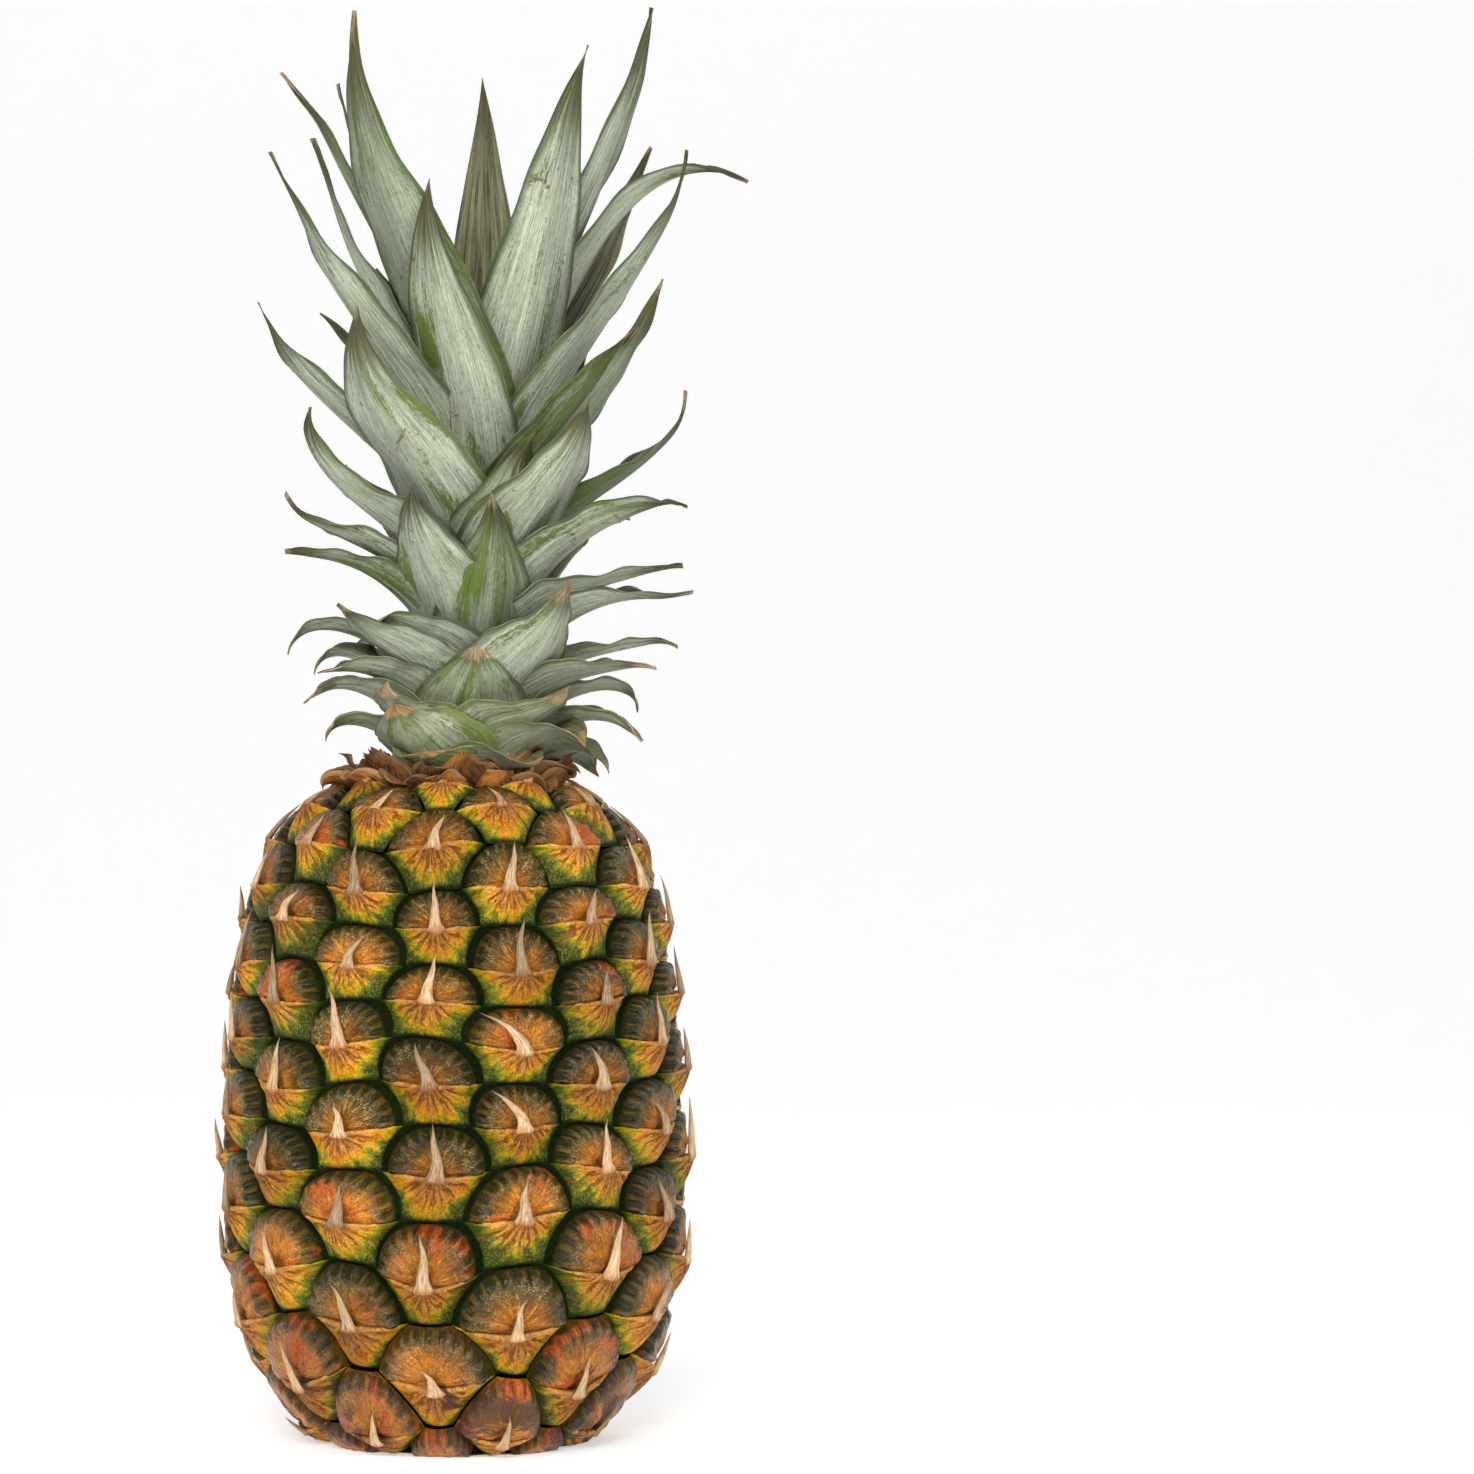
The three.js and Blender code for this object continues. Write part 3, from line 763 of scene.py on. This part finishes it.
class Paint:
    """Builds one procedural material: each method adds nodes and gives back their output."""

    def __init__(self, name):
        self.material = bpy.data.materials.new(name)
        self.material.use_nodes = True
        self.nodes = self.material.node_tree.nodes
        self.links = self.material.node_tree.links
        self.shader = self.nodes["Principled BSDF"]

    def put(self, socket, value):
        """Links an output to a socket, or sets a number or colour on it."""
        if isinstance(value, bpy.types.NodeSocket):
            self.links.new(value, socket)
        elif isinstance(value, tuple) and len(value) == 3 and len(socket.default_value) == 4:
            socket.default_value = (*value, 1)
        elif isinstance(value, float) and socket.type == "RGBA":
            socket.default_value = (value, value, value, 1)
        else:
            socket.default_value = value

    def split(self, name):
        """The three numbers that the mesh keeps at each point under this name."""
        attribute = self.node("Attribute", {}, attribute_name=name)
        return tuple(self.node("SeparateXYZ", {0: attribute.outputs["Vector"]}).outputs)

    def node(self, kind, inputs, **settings):
        """Adds a node with these settings and inputs."""
        node = self.nodes.new("ShaderNode" + kind)
        for key, value in settings.items():
            setattr(node, key, value)
        for key, value in inputs.items():
            self.put(node.inputs[key], value)
        return node

    def vector(self, x, y, z):
        return self.node("CombineXYZ", {0: x, 1: y, 2: z}).outputs[0]

    def place(self):
        return self.node("TexCoord", {}).outputs["Object"]

    def calc(self, operation, a, b=0.0):
        return self.node("Math", {0: a, 1: b}, operation=operation).outputs[0]

    def times(self, a, b):
        return self.calc("MULTIPLY", a, b)

    def plus(self, a, b):
        return self.calc("ADD", a, b)

    def minus(self, a, b):
        return self.calc("SUBTRACT", a, b)

    def swing(self, value, noise, amount):
        """Lets a noise from 0 to 1 move a value up and down, by the amount in all."""
        return self.plus(value, self.times(self.minus(noise, 0.5), amount))

    def length(self, x, y):
        return self.calc("SQRT", self.plus(self.times(x, x), self.times(y, y)))

    def step(self, value, low, high, to_low=0.0, to_high=1.0):
        """Goes smoothly from to_low to to_high while the value goes from low to high."""
        inputs = dict(enumerate((value, low, high, to_low, to_high)))
        return self.node("MapRange", inputs, interpolation_type="SMOOTHSTEP").outputs[0]

    def noise(self, vector, scale, detail=3.0, roughness=0.5, distortion=0.0):
        inputs = {"Vector": vector, "Scale": scale, "Detail": detail, "Roughness": roughness}
        return self.node("TexNoise", {**inputs, "Distortion": distortion}).outputs["Fac"]

    def streaks(self, lines, stretch, scale, detail, roughness=0.5, distortion=0.0):
        """Noise drawn out along lines, given as place across, place along and a shift, by two factors."""
        across, along, shift = lines
        vector = self.vector(self.times(across, stretch[0]), self.times(along, stretch[1]), shift)
        return self.noise(vector, scale, detail, roughness, distortion)

    def mix(self, share, a, b, blend="MIX"):
        # The colour sockets come after those for numbers and vectors
        inputs = {"Factor": share, 6: a, 7: b}
        return self.node("Mix", inputs, data_type="RGBA", blend_type=blend).outputs[2]

    def shade(self, colour, tone):
        """Makes a colour lighter or darker by a factor."""
        return self.mix(1.0, colour, self.vector(tone, tone, tone), "MULTIPLY")

    def ramp(self, value, stops):
        node = self.node("ValToRGB", {0: value})
        ramp = node.color_ramp
        while len(ramp.elements) < len(stops):
            ramp.elements.new(0.5)
        for element, (place, colour) in zip(ramp.elements, stops):
            element.position = place
            element.color = (*colour, 1)
        return node.outputs[0]

    def bump(self, height, strength, distance, **before):
        inputs = {"Strength": strength, "Distance": distance, "Height": height, **before}
        return self.node("Bump", inputs).outputs[0]

    def finish(self, **inputs):
        for key, value in inputs.items():
            self.put(self.shader.inputs[key.replace("_", " ")], value)
        return self.material


# Place in the fruitlet, its own number, how far out, how high up the fruit, and place in space
Skin = namedtuple("Skin", "x y pick rho level spot")
# Levels between which the skin turns browner, and those of the lowest fruitlets
LOW_DOWN = (0.34, 0.12)
LOWEST = (0.2, 0.1)

# The eye from its middle to its rim
EYE_RAMP = (
    (0.0, (0.62, 0.26, 0.03)), (0.3, (0.55, 0.2, 0.018)), (0.46, (0.37, 0.135, 0.014)),
    (0.6, (0.16, 0.078, 0.011)), (0.75, (0.068, 0.05, 0.009)), (0.92, (0.026, 0.028, 0.006)),
)
# The bract from the foot of its dry tip to its edge
BRACT_RAMP = (
    (0.0, (0.44, 0.17, 0.045)), (0.24, (0.56, 0.2, 0.025)), (0.44, (0.72, 0.33, 0.006)),
    (0.58, (0.48, 0.37, 0.006)), (0.7, (0.16, 0.21, 0.01)), (0.84, (0.035, 0.072, 0.008)),
)


def dust_specks(p, spot):
    return p.step(p.noise(spot, 2300, 2, 0.75), 0.5, 0.62)


def eye_stains(p, at, colour):
    """Red patches on a few eyes, and grey dust where the skin is dry."""
    red = p.plus(p.times(at.pick, 0.26), p.noise(at.spot, 110, 2, 0.5, 0.3))
    red = p.step(p.plus(red, p.step(at.level, 0.3, 0.1, -0.03, 0.03)), 0.78, 0.84)
    colour = p.mix(p.times(red, 0.7), colour, (0.5, 0.085, 0.005))
    patch = p.step(p.noise(at.spot, 200, 3, 0.6), 0.4, 0.6)
    where = p.times(p.step(at.rho, 0.9, 0.7), p.step(at.rho, 0.05, 0.35))
    dust = p.times(p.times(dust_specks(p, at.spot), patch), where)
    return p.mix(p.times(dust, 0.5), colour, (0.58, 0.47, 0.31))


def eye_edges(p, at, colour, lobes, rim, blotch):
    """Light and shade on the lobes, shade under the lip, and the edge next to the crease."""
    between = p.times(p.step(lobes, 0.1, -0.7), rim)
    colour = p.mix(p.times(between, 0.6), colour, (0.014, 0.013, 0.004))
    on_top = p.times(p.step(lobes, 0.2, 0.9), rim)
    colour = p.mix(p.times(on_top, 0.3), colour, (0.2, 0.115, 0.02))
    colour = p.mix(p.step(at.y, 0.0, 0.09, 0.8, 0.0), colour, (0.03, 0.012, 0.004))
    lowest = p.mix(p.step(blotch, 0.4, 0.6), (0.24, 0.1, 0.015), (0.1, 0.065, 0.015))
    edge = p.mix(p.step(at.level, *LOWEST), (0.006, 0.012, 0.003), lowest)
    return p.mix(p.step(at.rho, 0.95, 1.01), colour, edge)


def eye_colours(p, at):
    """Orange folds round a dimple, with painted shade in their grooves and partly painted light on their
    ridges, and a dark olive rim of small lobes: colour and relief.
    """
    eye_y = p.minus(at.y, 0.14)
    turn = p.calc("ARCTAN2", eye_y, p.times(at.x, 1.25))
    lines = (turn, p.length(at.x, eye_y), p.times(at.pick, 37.0))
    folds = p.streaks(lines, (3.0, 1.6), 1.5, 4, 0.6, 0.9)
    ridges = p.streaks(lines, (5.0, 1.6), 1.7, 4, 0.62, 1.1)
    blotch = p.noise(at.spot, 150, 3, 0.6, 0.4)

    # From the middle to the rim, with ragged bounds
    ring = p.swing(at.rho, folds, 0.5)
    ring = p.swing(ring, blotch, 0.6)
    ring = p.swing(ring, at.pick, -0.22)
    ring = p.minus(ring, p.step(at.level, *LOW_DOWN, 0.0, 0.16))
    ring = p.plus(ring, p.step(p.noise(at.spot, 22, 2), 0.35, 0.65, -0.06, 0.1))
    colour = p.ramp(ring, EYE_RAMP)
    # Painted shade: the grooves between the folds are darkened where the relief is low.
    fold_shade = p.times(p.step(ridges, 0.5, 0.36), p.step(at.rho, 0.85, 0.55))
    colour = p.mix(p.times(fold_shade, 0.6), colour, (0.12, 0.034, 0.008))
    # Brighter orange on the ridges of the folds: partly the eye's own colour, partly painted light where the
    # relief is high.
    glow = p.times(p.step(ridges, 0.54, 0.66), p.step(at.rho, 0.8, 0.4))
    colour = p.mix(p.times(glow, 0.7), colour, (0.78, 0.38, 0.04))
    colour = eye_stains(p, at, colour)

    lobes = p.calc("SINE", p.plus(p.times(turn, 21.0), p.times(folds, 7.0)))
    rim = p.times(p.step(at.rho, 0.7, 0.84), p.step(at.rho, 1.0, 0.94))
    colour = eye_edges(p, at, colour, lobes, rim, blotch)
    relief = p.plus(p.times(ridges, p.step(at.rho, 0.85, 0.6)), p.times(folds, 1.6))
    return colour, p.plus(relief, p.times(p.times(lobes, rim), 0.5))


# Directions and distances round the foot of a dry tip, and the noises that follow them
Fan = namedtuple("Fan", "angle away down shift veins broad patchy")


def bract_fan(p, at):
    down = p.minus(0.02, at.y)
    angle = p.calc("ARCTAN2", p.times(at.x, 1.7), p.plus(down, 0.12))
    away = p.length(at.x, down)
    shift = p.times(at.pick, 53.0)
    veins = p.streaks((angle, away, shift), (4.6, 1.3), 2.0, 5, 0.7, 0.9)
    broad = p.streaks((angle, away, shift), (2.2, 1.4), 2.0, 2, 0.5, 0.5)
    return Fan(angle, away, down, shift, veins, broad, p.noise(at.spot, 210, 4, 0.65, 0.5))


def bract_strokes(p, fan, colour):
    """Brown, tan and dark strokes fan out from the tip's foot. Gives the colour and the dark ones."""
    brown = p.times(p.step(fan.veins, 0.5, 0.58), p.step(fan.away, 0.85, 0.15))
    colour = p.mix(p.times(brown, 0.9), colour, (0.17, 0.055, 0.02))
    tan = p.times(p.step(fan.veins, 0.47, 0.38), p.step(fan.away, 0.75, 0.2))
    colour = p.mix(p.times(tan, 0.7), colour, (0.54, 0.28, 0.12))
    phase = p.plus(p.times(fan.angle, 17.0), p.times(fan.broad, 12.0))
    phase = p.plus(p.plus(phase, p.times(fan.patchy, 3.0)), fan.shift)
    stroke = p.calc("SINE", phase)
    pale = p.times(p.step(stroke, -0.2, -0.8), p.step(fan.away, 0.7, 0.3))
    colour = p.mix(p.times(pale, 0.5), colour, (0.6, 0.33, 0.18))
    near = p.times(p.step(fan.away, 0.98, 0.4), p.step(fan.away, 0.08, 0.2))
    dark = p.times(p.step(stroke, 0.4, 0.8), near)
    colour = p.mix(p.times(dark, 0.85), colour, (0.17, 0.042, 0.016))
    heart = p.step(p.plus(fan.away, p.times(fan.broad, 0.4)), 0.62, 0.3)
    return p.mix(p.times(heart, 0.5), colour, (0.4, 0.175, 0.075)), dark


def bract_colours(p, at):
    """Strokes over orange and yellow skin, with green, then almost black edges: colour and relief."""
    fan = bract_fan(p, at)
    green = p.length(p.times(at.rho, 0.88), p.times(fan.down, 0.74))
    green = p.swing(green, fan.patchy, 0.45)
    green = p.swing(green, fan.broad, 0.75)
    green = p.swing(green, at.pick, 0.16)
    green = p.minus(green, p.step(at.level, *LOW_DOWN, 0.0, 0.22))
    green = p.plus(green, p.step(p.noise(at.spot, 16, 2), 0.35, 0.65, -0.09, 0.12))
    colour, dark = bract_strokes(p, fan, p.ramp(green, BRACT_RAMP))
    dust = p.times(dust_specks(p, at.spot), p.step(fan.down, 0.1, 0.4))
    colour = p.mix(p.times(dust, 0.32), colour, (0.5, 0.44, 0.26))

    border = p.calc("MAXIMUM", p.step(at.rho, 0.92, 1.0), p.step(fan.down, 0.88, 1.0))
    border = p.times(border, p.step(fan.down, 0.02, 0.2, 0.3, 1.0))
    edge = p.mix(p.step(at.level, *LOWEST), (0.009, 0.022, 0.004), (0.12, 0.07, 0.012))
    colour = p.mix(p.times(border, 0.95), colour, edge)
    lip = p.times(p.step(fan.down, 0.1, 0.055), p.step(at.rho, 0.95, 0.6))
    colour = p.mix(p.times(lip, 0.8), colour, (0.56, 0.32, 0.14))
    relief = p.plus(p.times(fan.veins, 1.2), fan.broad)
    return colour, p.minus(relief, p.times(dark, 0.35))


def fruit_skin_paint():
    """Eyes above, bracts below, told apart by the sign of the height within a fruitlet."""
    p = Paint("fruitlet_skin")
    x, y, pick = p.split("cell")
    rho, other, level = p.split("form")
    at = Skin(x, y, pick, rho, level, p.place())
    eye, eye_relief = eye_colours(p, at)
    bract, bract_relief = bract_colours(p, at)
    is_eye = p.step(y, -0.002, 0.002)
    colour = p.mix(is_eye, bract, eye)

    # Lighter and darker fruitlets, a fine grain, and brown scuffs mostly low down
    tone = p.step(other, 0.0, 1.0, 0.78, 1.18)
    warm_tone = p.vector(tone, p.times(tone, 0.86), p.times(tone, 0.42))
    colour = p.mix(1.0, colour, warm_tone, "MULTIPLY")
    colour = p.shade(colour, p.step(p.noise(at.spot, 1300, 4, 0.85), 0.36, 0.64, 0.66, 1.32))
    scuff = p.plus(p.noise(at.spot, 60, 5, 0.7, 0.8), p.step(level, 0.28, 0.06, 0.0, 0.2))
    colour = p.mix(p.step(scuff, 0.67, 0.74, 0.0, 0.85), colour, (0.06, 0.026, 0.012))

    edge = p.step(rho, 0.86, 0.97)
    eye_rough = p.mix(p.step(rho, 0.4, 0.75), 0.45, 0.2)
    roughness = p.mix(is_eye, p.mix(edge, 0.5, 0.85), p.mix(edge, eye_rough, 0.85))
    shine = p.times(p.step(rho, 0.92, 1.0, 0.34, 0.05), p.mix(is_eye, 0.45, 1.0))
    normal = p.bump(p.mix(is_eye, bract_relief, eye_relief), 0.85, 0.0013)
    normal = p.bump(p.noise(at.spot, 1500, 3, 0.6), 0.22, 0.0003, Normal=normal)
    return p.finish(Base_Color=colour, Roughness=roughness, Normal=normal, Specular_IOR_Level=shine)


TIP_RAMP = ((0.34, (0.3, 0.14, 0.055)), (0.46, (0.58, 0.37, 0.19)), (0.64, (0.8, 0.6, 0.37)))


def spine_paint():
    """Papery and cream, with fine lengthwise streaks, an orange-brown foot and a brown end."""
    p = Paint("dry_tip")
    x, y, pick = p.split("cell")
    streak = p.streaks((x, y, p.times(pick, 50.0)), (11.0, 2.0), 2.4, 4, 0.65, 0.3)
    colour = p.ramp(streak, TIP_RAMP)
    foot = p.swing(y, streak, 0.3)
    colour = p.mix(p.step(foot, 0.2, 0.02, 0.0, 0.9), colour, (0.42, 0.17, 0.05))
    colour = p.mix(p.step(y, 0.8, 1.0, 0.0, 0.65), colour, (0.2, 0.095, 0.04))
    colour = p.shade(colour, p.step(pick, 0.0, 1.0, 0.5, 1.02))
    normal = p.bump(streak, 0.7, 0.0007)
    normal = p.bump(p.noise(p.place(), 1800, 2), 0.3, 0.0003, Normal=normal)
    return p.finish(Base_Color=colour, Roughness=0.7, Normal=normal, Specular_IOR_Level=0.3)


DRY_RAMP = ((0.38, (0.035, 0.012, 0.004)), (0.5, (0.32, 0.105, 0.017)), (0.62, (0.66, 0.31, 0.08)))


def bract_paint():
    """Dry and papery: orange-brown, darker along the ribs and pale at the edges."""
    p = Paint("dry_bract")
    x, y, pick = p.split("cell")
    spot = p.place()
    streak = p.streaks((x, y, p.times(pick, 50.0)), (6.0, 1.2), 2.2, 5, 0.7, 0.4)
    colour = p.ramp(streak, DRY_RAMP)
    colour = p.mix(p.step(p.noise(spot, 150, 3, 0.6), 0.45, 0.62, 0.0, 0.7), colour, (0.62, 0.23, 0.025))
    colour = p.mix(p.step(p.calc("ABSOLUTE", x), 0.7, 0.95, 0.0, 0.7), colour, (0.68, 0.4, 0.17))
    colour = p.mix(p.step(y, 0.7, 1.0, 0.0, 0.5), colour, (0.4, 0.22, 0.1))
    colour = p.shade(colour, p.step(pick, 0.0, 1.0, 0.3, 1.35))
    normal = p.bump(streak, 0.8, 0.0009)
    normal = p.bump(p.noise(spot, 900, 3), 0.4, 0.0004, Normal=normal)
    return p.finish(Base_Color=colour, Roughness=0.75, Normal=normal, Specular_IOR_Level=0.3)


# The leaf's green, and the bloom over it
GREEN_RAMP = ((0.35, (0.022, 0.036, 0.008)), (0.52, (0.05, 0.075, 0.016)), (0.7, (0.12, 0.155, 0.04)))
BLOOM_RAMP = ((0.36, (0.23, 0.26, 0.17)), (0.49, (0.44, 0.48, 0.36)), (0.6, (0.7, 0.74, 0.6)))

# Place across and along the leaf, its own number, where its streaks run, and noises
Leaf = namedtuple("Leaf", "x y pick lines fine broad grain")


def read_leaf(p, length):
    x, y, pick = p.split("cell")
    lines = (x, p.times(y, length), p.times(pick, 61.0))
    fine = p.streaks(lines, (60.0, 4.0), 1.3, 4, 0.7, 0.1)
    broad = p.streaks(lines, (5.0, 2.0), 1.3, 4, 0.6, 0.5)
    grain = p.streaks(lines, (14.0, 26.0), 2.0, 4, 0.75, 0.4)
    return Leaf(x, y, pick, lines, fine, broad, grain)


def leaf_bloom(p, at):
    """A grey bloom in fine fibres, with flecks and pits, and painted shade in darker stretches, as shadows
    of folds in the blade.
    """
    bloom = p.ramp(at.fine, BLOOM_RAMP)
    bloom = p.mix(p.step(at.broad, 0.3, 0.62, 0.0, 0.34), bloom, (0.25, 0.3, 0.15))
    bloom = p.mix(p.step(at.grain, 0.52, 0.66, 0.0, 0.5), bloom, (0.66, 0.69, 0.58))
    bloom = p.mix(p.step(at.grain, 0.47, 0.36, 0.0, 0.55), bloom, (0.12, 0.14, 0.08))
    # Painted shade: broad darker streaks along the blade stand in for the shadows of its folds.
    stretch = p.step(p.streaks(at.lines, (2.5, 1.5), 1.2, 3), 0.35, 0.65)
    return p.mix(p.step(stretch, 0.0, 1.0, 0.2, 0.0), bloom, (0.1, 0.12, 0.07))


def leaf_outside(p, at):
    """Green under its bloom, which is thin at the edges and the tip and rubbed off in patches."""
    across, along, shift = at.lines
    rub = p.streaks((across, along, p.plus(shift, 9.0)), (1.5, 2.2), 1.3, 3, 0.55, 0.5)
    rub = p.swing(rub, at.grain, 0.75)
    rub = p.swing(rub, at.pick, 0.16)
    margin = p.swing(p.calc("ABSOLUTE", at.x), at.broad, 0.25)
    toward_tip = p.swing(at.y, at.broad, 0.5)
    cover = p.step(rub, 0.63, 0.54, 0.12, 1.0)
    cover = p.times(cover, p.step(margin, 0.98, 0.84, 0.1, 1.0))
    cover = p.times(cover, p.step(toward_tip, 0.97, 0.7, 0.15, 1.0))
    cover = p.times(cover, p.step(at.pick, 0.85, 0.5, 0.25, 1.0))
    colour = p.mix(cover, p.ramp(at.broad, GREEN_RAMP), leaf_bloom(p, at))
    bright = p.times(p.step(rub, 0.57, 0.64), p.step(at.fine, 0.3, 0.6))
    return p.mix(p.times(bright, 0.9), colour, (0.13, 0.215, 0.014))


def leaf_marks(p, at, spot, colour):
    """A pale root, small brown scars and dark scratches across the blade."""
    colour = p.mix(p.step(at.y, 0.2, 0.0, 0.0, 0.5), colour, (0.42, 0.42, 0.26))
    scar = p.plus(p.noise(spot, 85, 5, 0.75, 0.7), p.step(at.y, 0.3, 0.9, 0.0, 0.06))
    colour = p.mix(p.step(scar, 0.66, 0.71, 0.0, 0.8), colour, (0.12, 0.075, 0.03))
    scratch = p.streaks(at.lines, (3.0, 60.0), 1.2, 2, 0.6, 1.5)
    return p.mix(p.step(scratch, 0.68, 0.72, 0.0, 0.4), colour, (0.05, 0.06, 0.03))


def leaf_end(p, at, spot, low, colour):
    """An olive end and a dry tip that starts raggedly, sooner and more orange on the lowest leaves."""
    ragged = p.swing(at.y, at.broad, 0.22)
    ragged = p.swing(ragged, at.pick, 0.05)
    colour = p.mix(p.step(ragged, 0.78, 0.93, 0.0, 0.75), colour, (0.085, 0.075, 0.02))
    straw = p.mix(p.step(at.fine, 0.35, 0.62), (0.2, 0.13, 0.055), (0.6, 0.47, 0.27))
    rot = p.step(p.noise(spot, 240, 4, 0.7, 0.6), 0.46, 0.6)
    straw = p.mix(p.times(rot, 0.5), straw, (0.14, 0.07, 0.025))
    straw = p.mix(p.step(low, 0.1, 0.02, 0.0, 0.6), straw, (0.56, 0.3, 0.09))
    start = p.step(low, 0.5, 0.08, 0.965, 0.84)
    return p.mix(p.step(p.minus(ragged, start), 0.0, 0.025), colour, straw)


def leaf_paint():
    """Grey-green under a streaked bloom that is rubbed off in places, with dry tips."""
    p = Paint("crown_leaf")
    face, low, length = p.split("form")
    at = read_leaf(p, length)
    spot = p.place()
    inside = p.mix(p.step(at.broad, 0.38, 0.62), (0.035, 0.04, 0.012), (0.24, 0.235, 0.12))
    inside = p.mix(p.step(at.fine, 0.48, 0.62, 0.0, 0.65), inside, (0.5, 0.48, 0.32))
    colour = p.mix(face, leaf_outside(p, at), inside)
    colour = p.mix(p.step(low, 0.3, 0.0, 0.0, 0.32), colour, (0.25, 0.26, 0.11))
    colour = leaf_marks(p, at, spot, colour)
    colour = leaf_end(p, at, spot, low, colour)
    roughness = p.step(at.fine, 0.3, 0.7, 0.5, 0.65)
    normal = p.bump(p.plus(at.fine, p.times(at.grain, 0.5)), 0.7, 0.0006)
    ribs = p.streaks(at.lines, (9.0, 1.0), 1.5, 3, 0.6, 0.3)
    normal = p.bump(ribs, 0.8, 0.0011, Normal=normal)
    return p.finish(Base_Color=colour, Roughness=roughness, Normal=normal, Specular_IOR_Level=0.35)


def crease_paint():
    """Almost black, with a little green."""
    p = Paint("crease")
    colour = p.mix(p.noise(p.place(), 300, 3), (0.002, 0.004, 0.001), (0.008, 0.013, 0.003))
    return p.finish(Base_Color=colour, Roughness=0.85, Specular_IOR_Level=0.05)


STALK_RAMP = ((0.35, (0.2, 0.12, 0.05)), (0.52, (0.46, 0.33, 0.17)), (0.68, (0.62, 0.5, 0.3)))


def stalk_paint():
    """A dry cut end: fibres with brown stains."""
    p = Paint("cut_stalk")
    spot = p.place()
    fibres = p.noise(spot, 1400, 3, 0.7)
    colour = p.ramp(fibres, STALK_RAMP)
    stain = p.step(p.noise(spot, 120, 4, 0.6, 0.5), 0.45, 0.65, 0.0, 0.7)
    colour = p.mix(stain, colour, (0.16, 0.09, 0.035))
    return p.finish(Base_Color=colour, Roughness=0.85, Normal=p.bump(fibres, 0.6, 0.0006))


make_fruitlets(fruit_skin_paint(), spine_paint())
make_creases(crease_paint())
make_cut_stalk(stalk_paint())
leaf_material = leaf_paint()
make_leaves(leaf_material)
make_crown_stem(leaf_material)
make_dry_bracts(bract_paint())

# Floor, light and camera, in metres
CAMERA_DISTANCE = 1.2
CAMERA_HEIGHT = 0.17525
FRAME_WIDTH = 0.3685
AXIS_IN_FRAME = 455 / 1474
SENSOR_WIDTH = 36
# The floor's front, its curve up, the backdrop's top and half the width
FLOOR_FRONT = -4.0
CURVE_START = 1.2
CURVE_RADIUS = 1.5
BACKDROP_TOP = 6.0
FLOOR_REACH = 6.0
FLOOR_GLOW = 0.45
# Lights: name, place, size and power in watts; the point they shine on; the light all round
LIGHTS = (
    ("left", (-1.1, -1.2, 0.8), 0.6, 11),
    ("right", (1.2, -1.1, 0.6), 0.6, 10),
    ("front", (-0.1, -1.6, 0.9), 0.7, 19),
)
LIT_POINT = (0, 0, 0.18)
WORLD_STRENGTH = 0.3


def add_floor():
    """A pale floor that curves up into a backdrop."""
    turn = np.linspace(0, math.pi / 2, 16)
    curve = [(CURVE_START + CURVE_RADIUS * math.sin(a), CURVE_RADIUS * (1 - math.cos(a))) for a in turn]
    line = [(FLOOR_FRONT, 0.0)] + curve + [(CURVE_START + CURVE_RADIUS, BACKDROP_TOP)]
    points = [(x, y, z) for y, z in line for x in (-FLOOR_REACH, FLOOR_REACH)]
    faces = [(2 * i, 2 * i + 1, 2 * i + 3, 2 * i + 2) for i in range(len(line) - 1)]
    mesh = bpy.data.meshes.new("floor")
    mesh.from_pydata(points, [], faces)
    floor = add_object("floor", mesh)
    p = Paint("floor")
    white = (0.88,) * 3
    glow = {"Emission_Color": white, "Emission_Strength": FLOOR_GLOW}
    mesh.materials.append(p.finish(Base_Color=white, Roughness=0.9, **glow))
    mesh.polygons.foreach_set("use_smooth", [True] * len(faces))


def add_light(name, place, size, power):
    data = bpy.data.lights.new(name, "AREA")
    data.shape = "DISK"
    data.size = size
    data.energy = power
    light = add_object(name, data)
    light.location = place
    aim = np.subtract(LIT_POINT, place)
    flat = math.hypot(*aim[:2])
    light.rotation_euler = (math.atan2(flat, -aim[2]), 0, math.atan2(-aim[0], aim[1]))


def add_world():
    """Even white light from all round, and the plain view transform."""
    world = bpy.data.worlds.new("studio")
    world.use_nodes = True
    background = world.node_tree.nodes["Background"]
    background.inputs["Color"].default_value = (1, 1, 1, 1)
    background.inputs["Strength"].default_value = WORLD_STRENGTH
    bpy.context.scene.world = world
    bpy.context.scene.view_settings.view_transform = "Standard"


def add_camera():
    """Looks straight at the fruit, shifted so that it stands left of the middle."""
    data = bpy.data.cameras.new("camera")
    data.sensor_width = SENSOR_WIDTH
    data.lens = SENSOR_WIDTH * CAMERA_DISTANCE / FRAME_WIDTH
    data.shift_x = 0.5 - AXIS_IN_FRAME
    data.clip_start = 0.05
    camera = add_object("camera", data)
    camera.location = (0, -CAMERA_DISTANCE, CAMERA_HEIGHT)
    camera.rotation_euler = (math.pi / 2, 0, 0)
    bpy.context.scene.camera = camera


add_world()
add_floor()
for light in LIGHTS:
    add_light(*light)
add_camera()
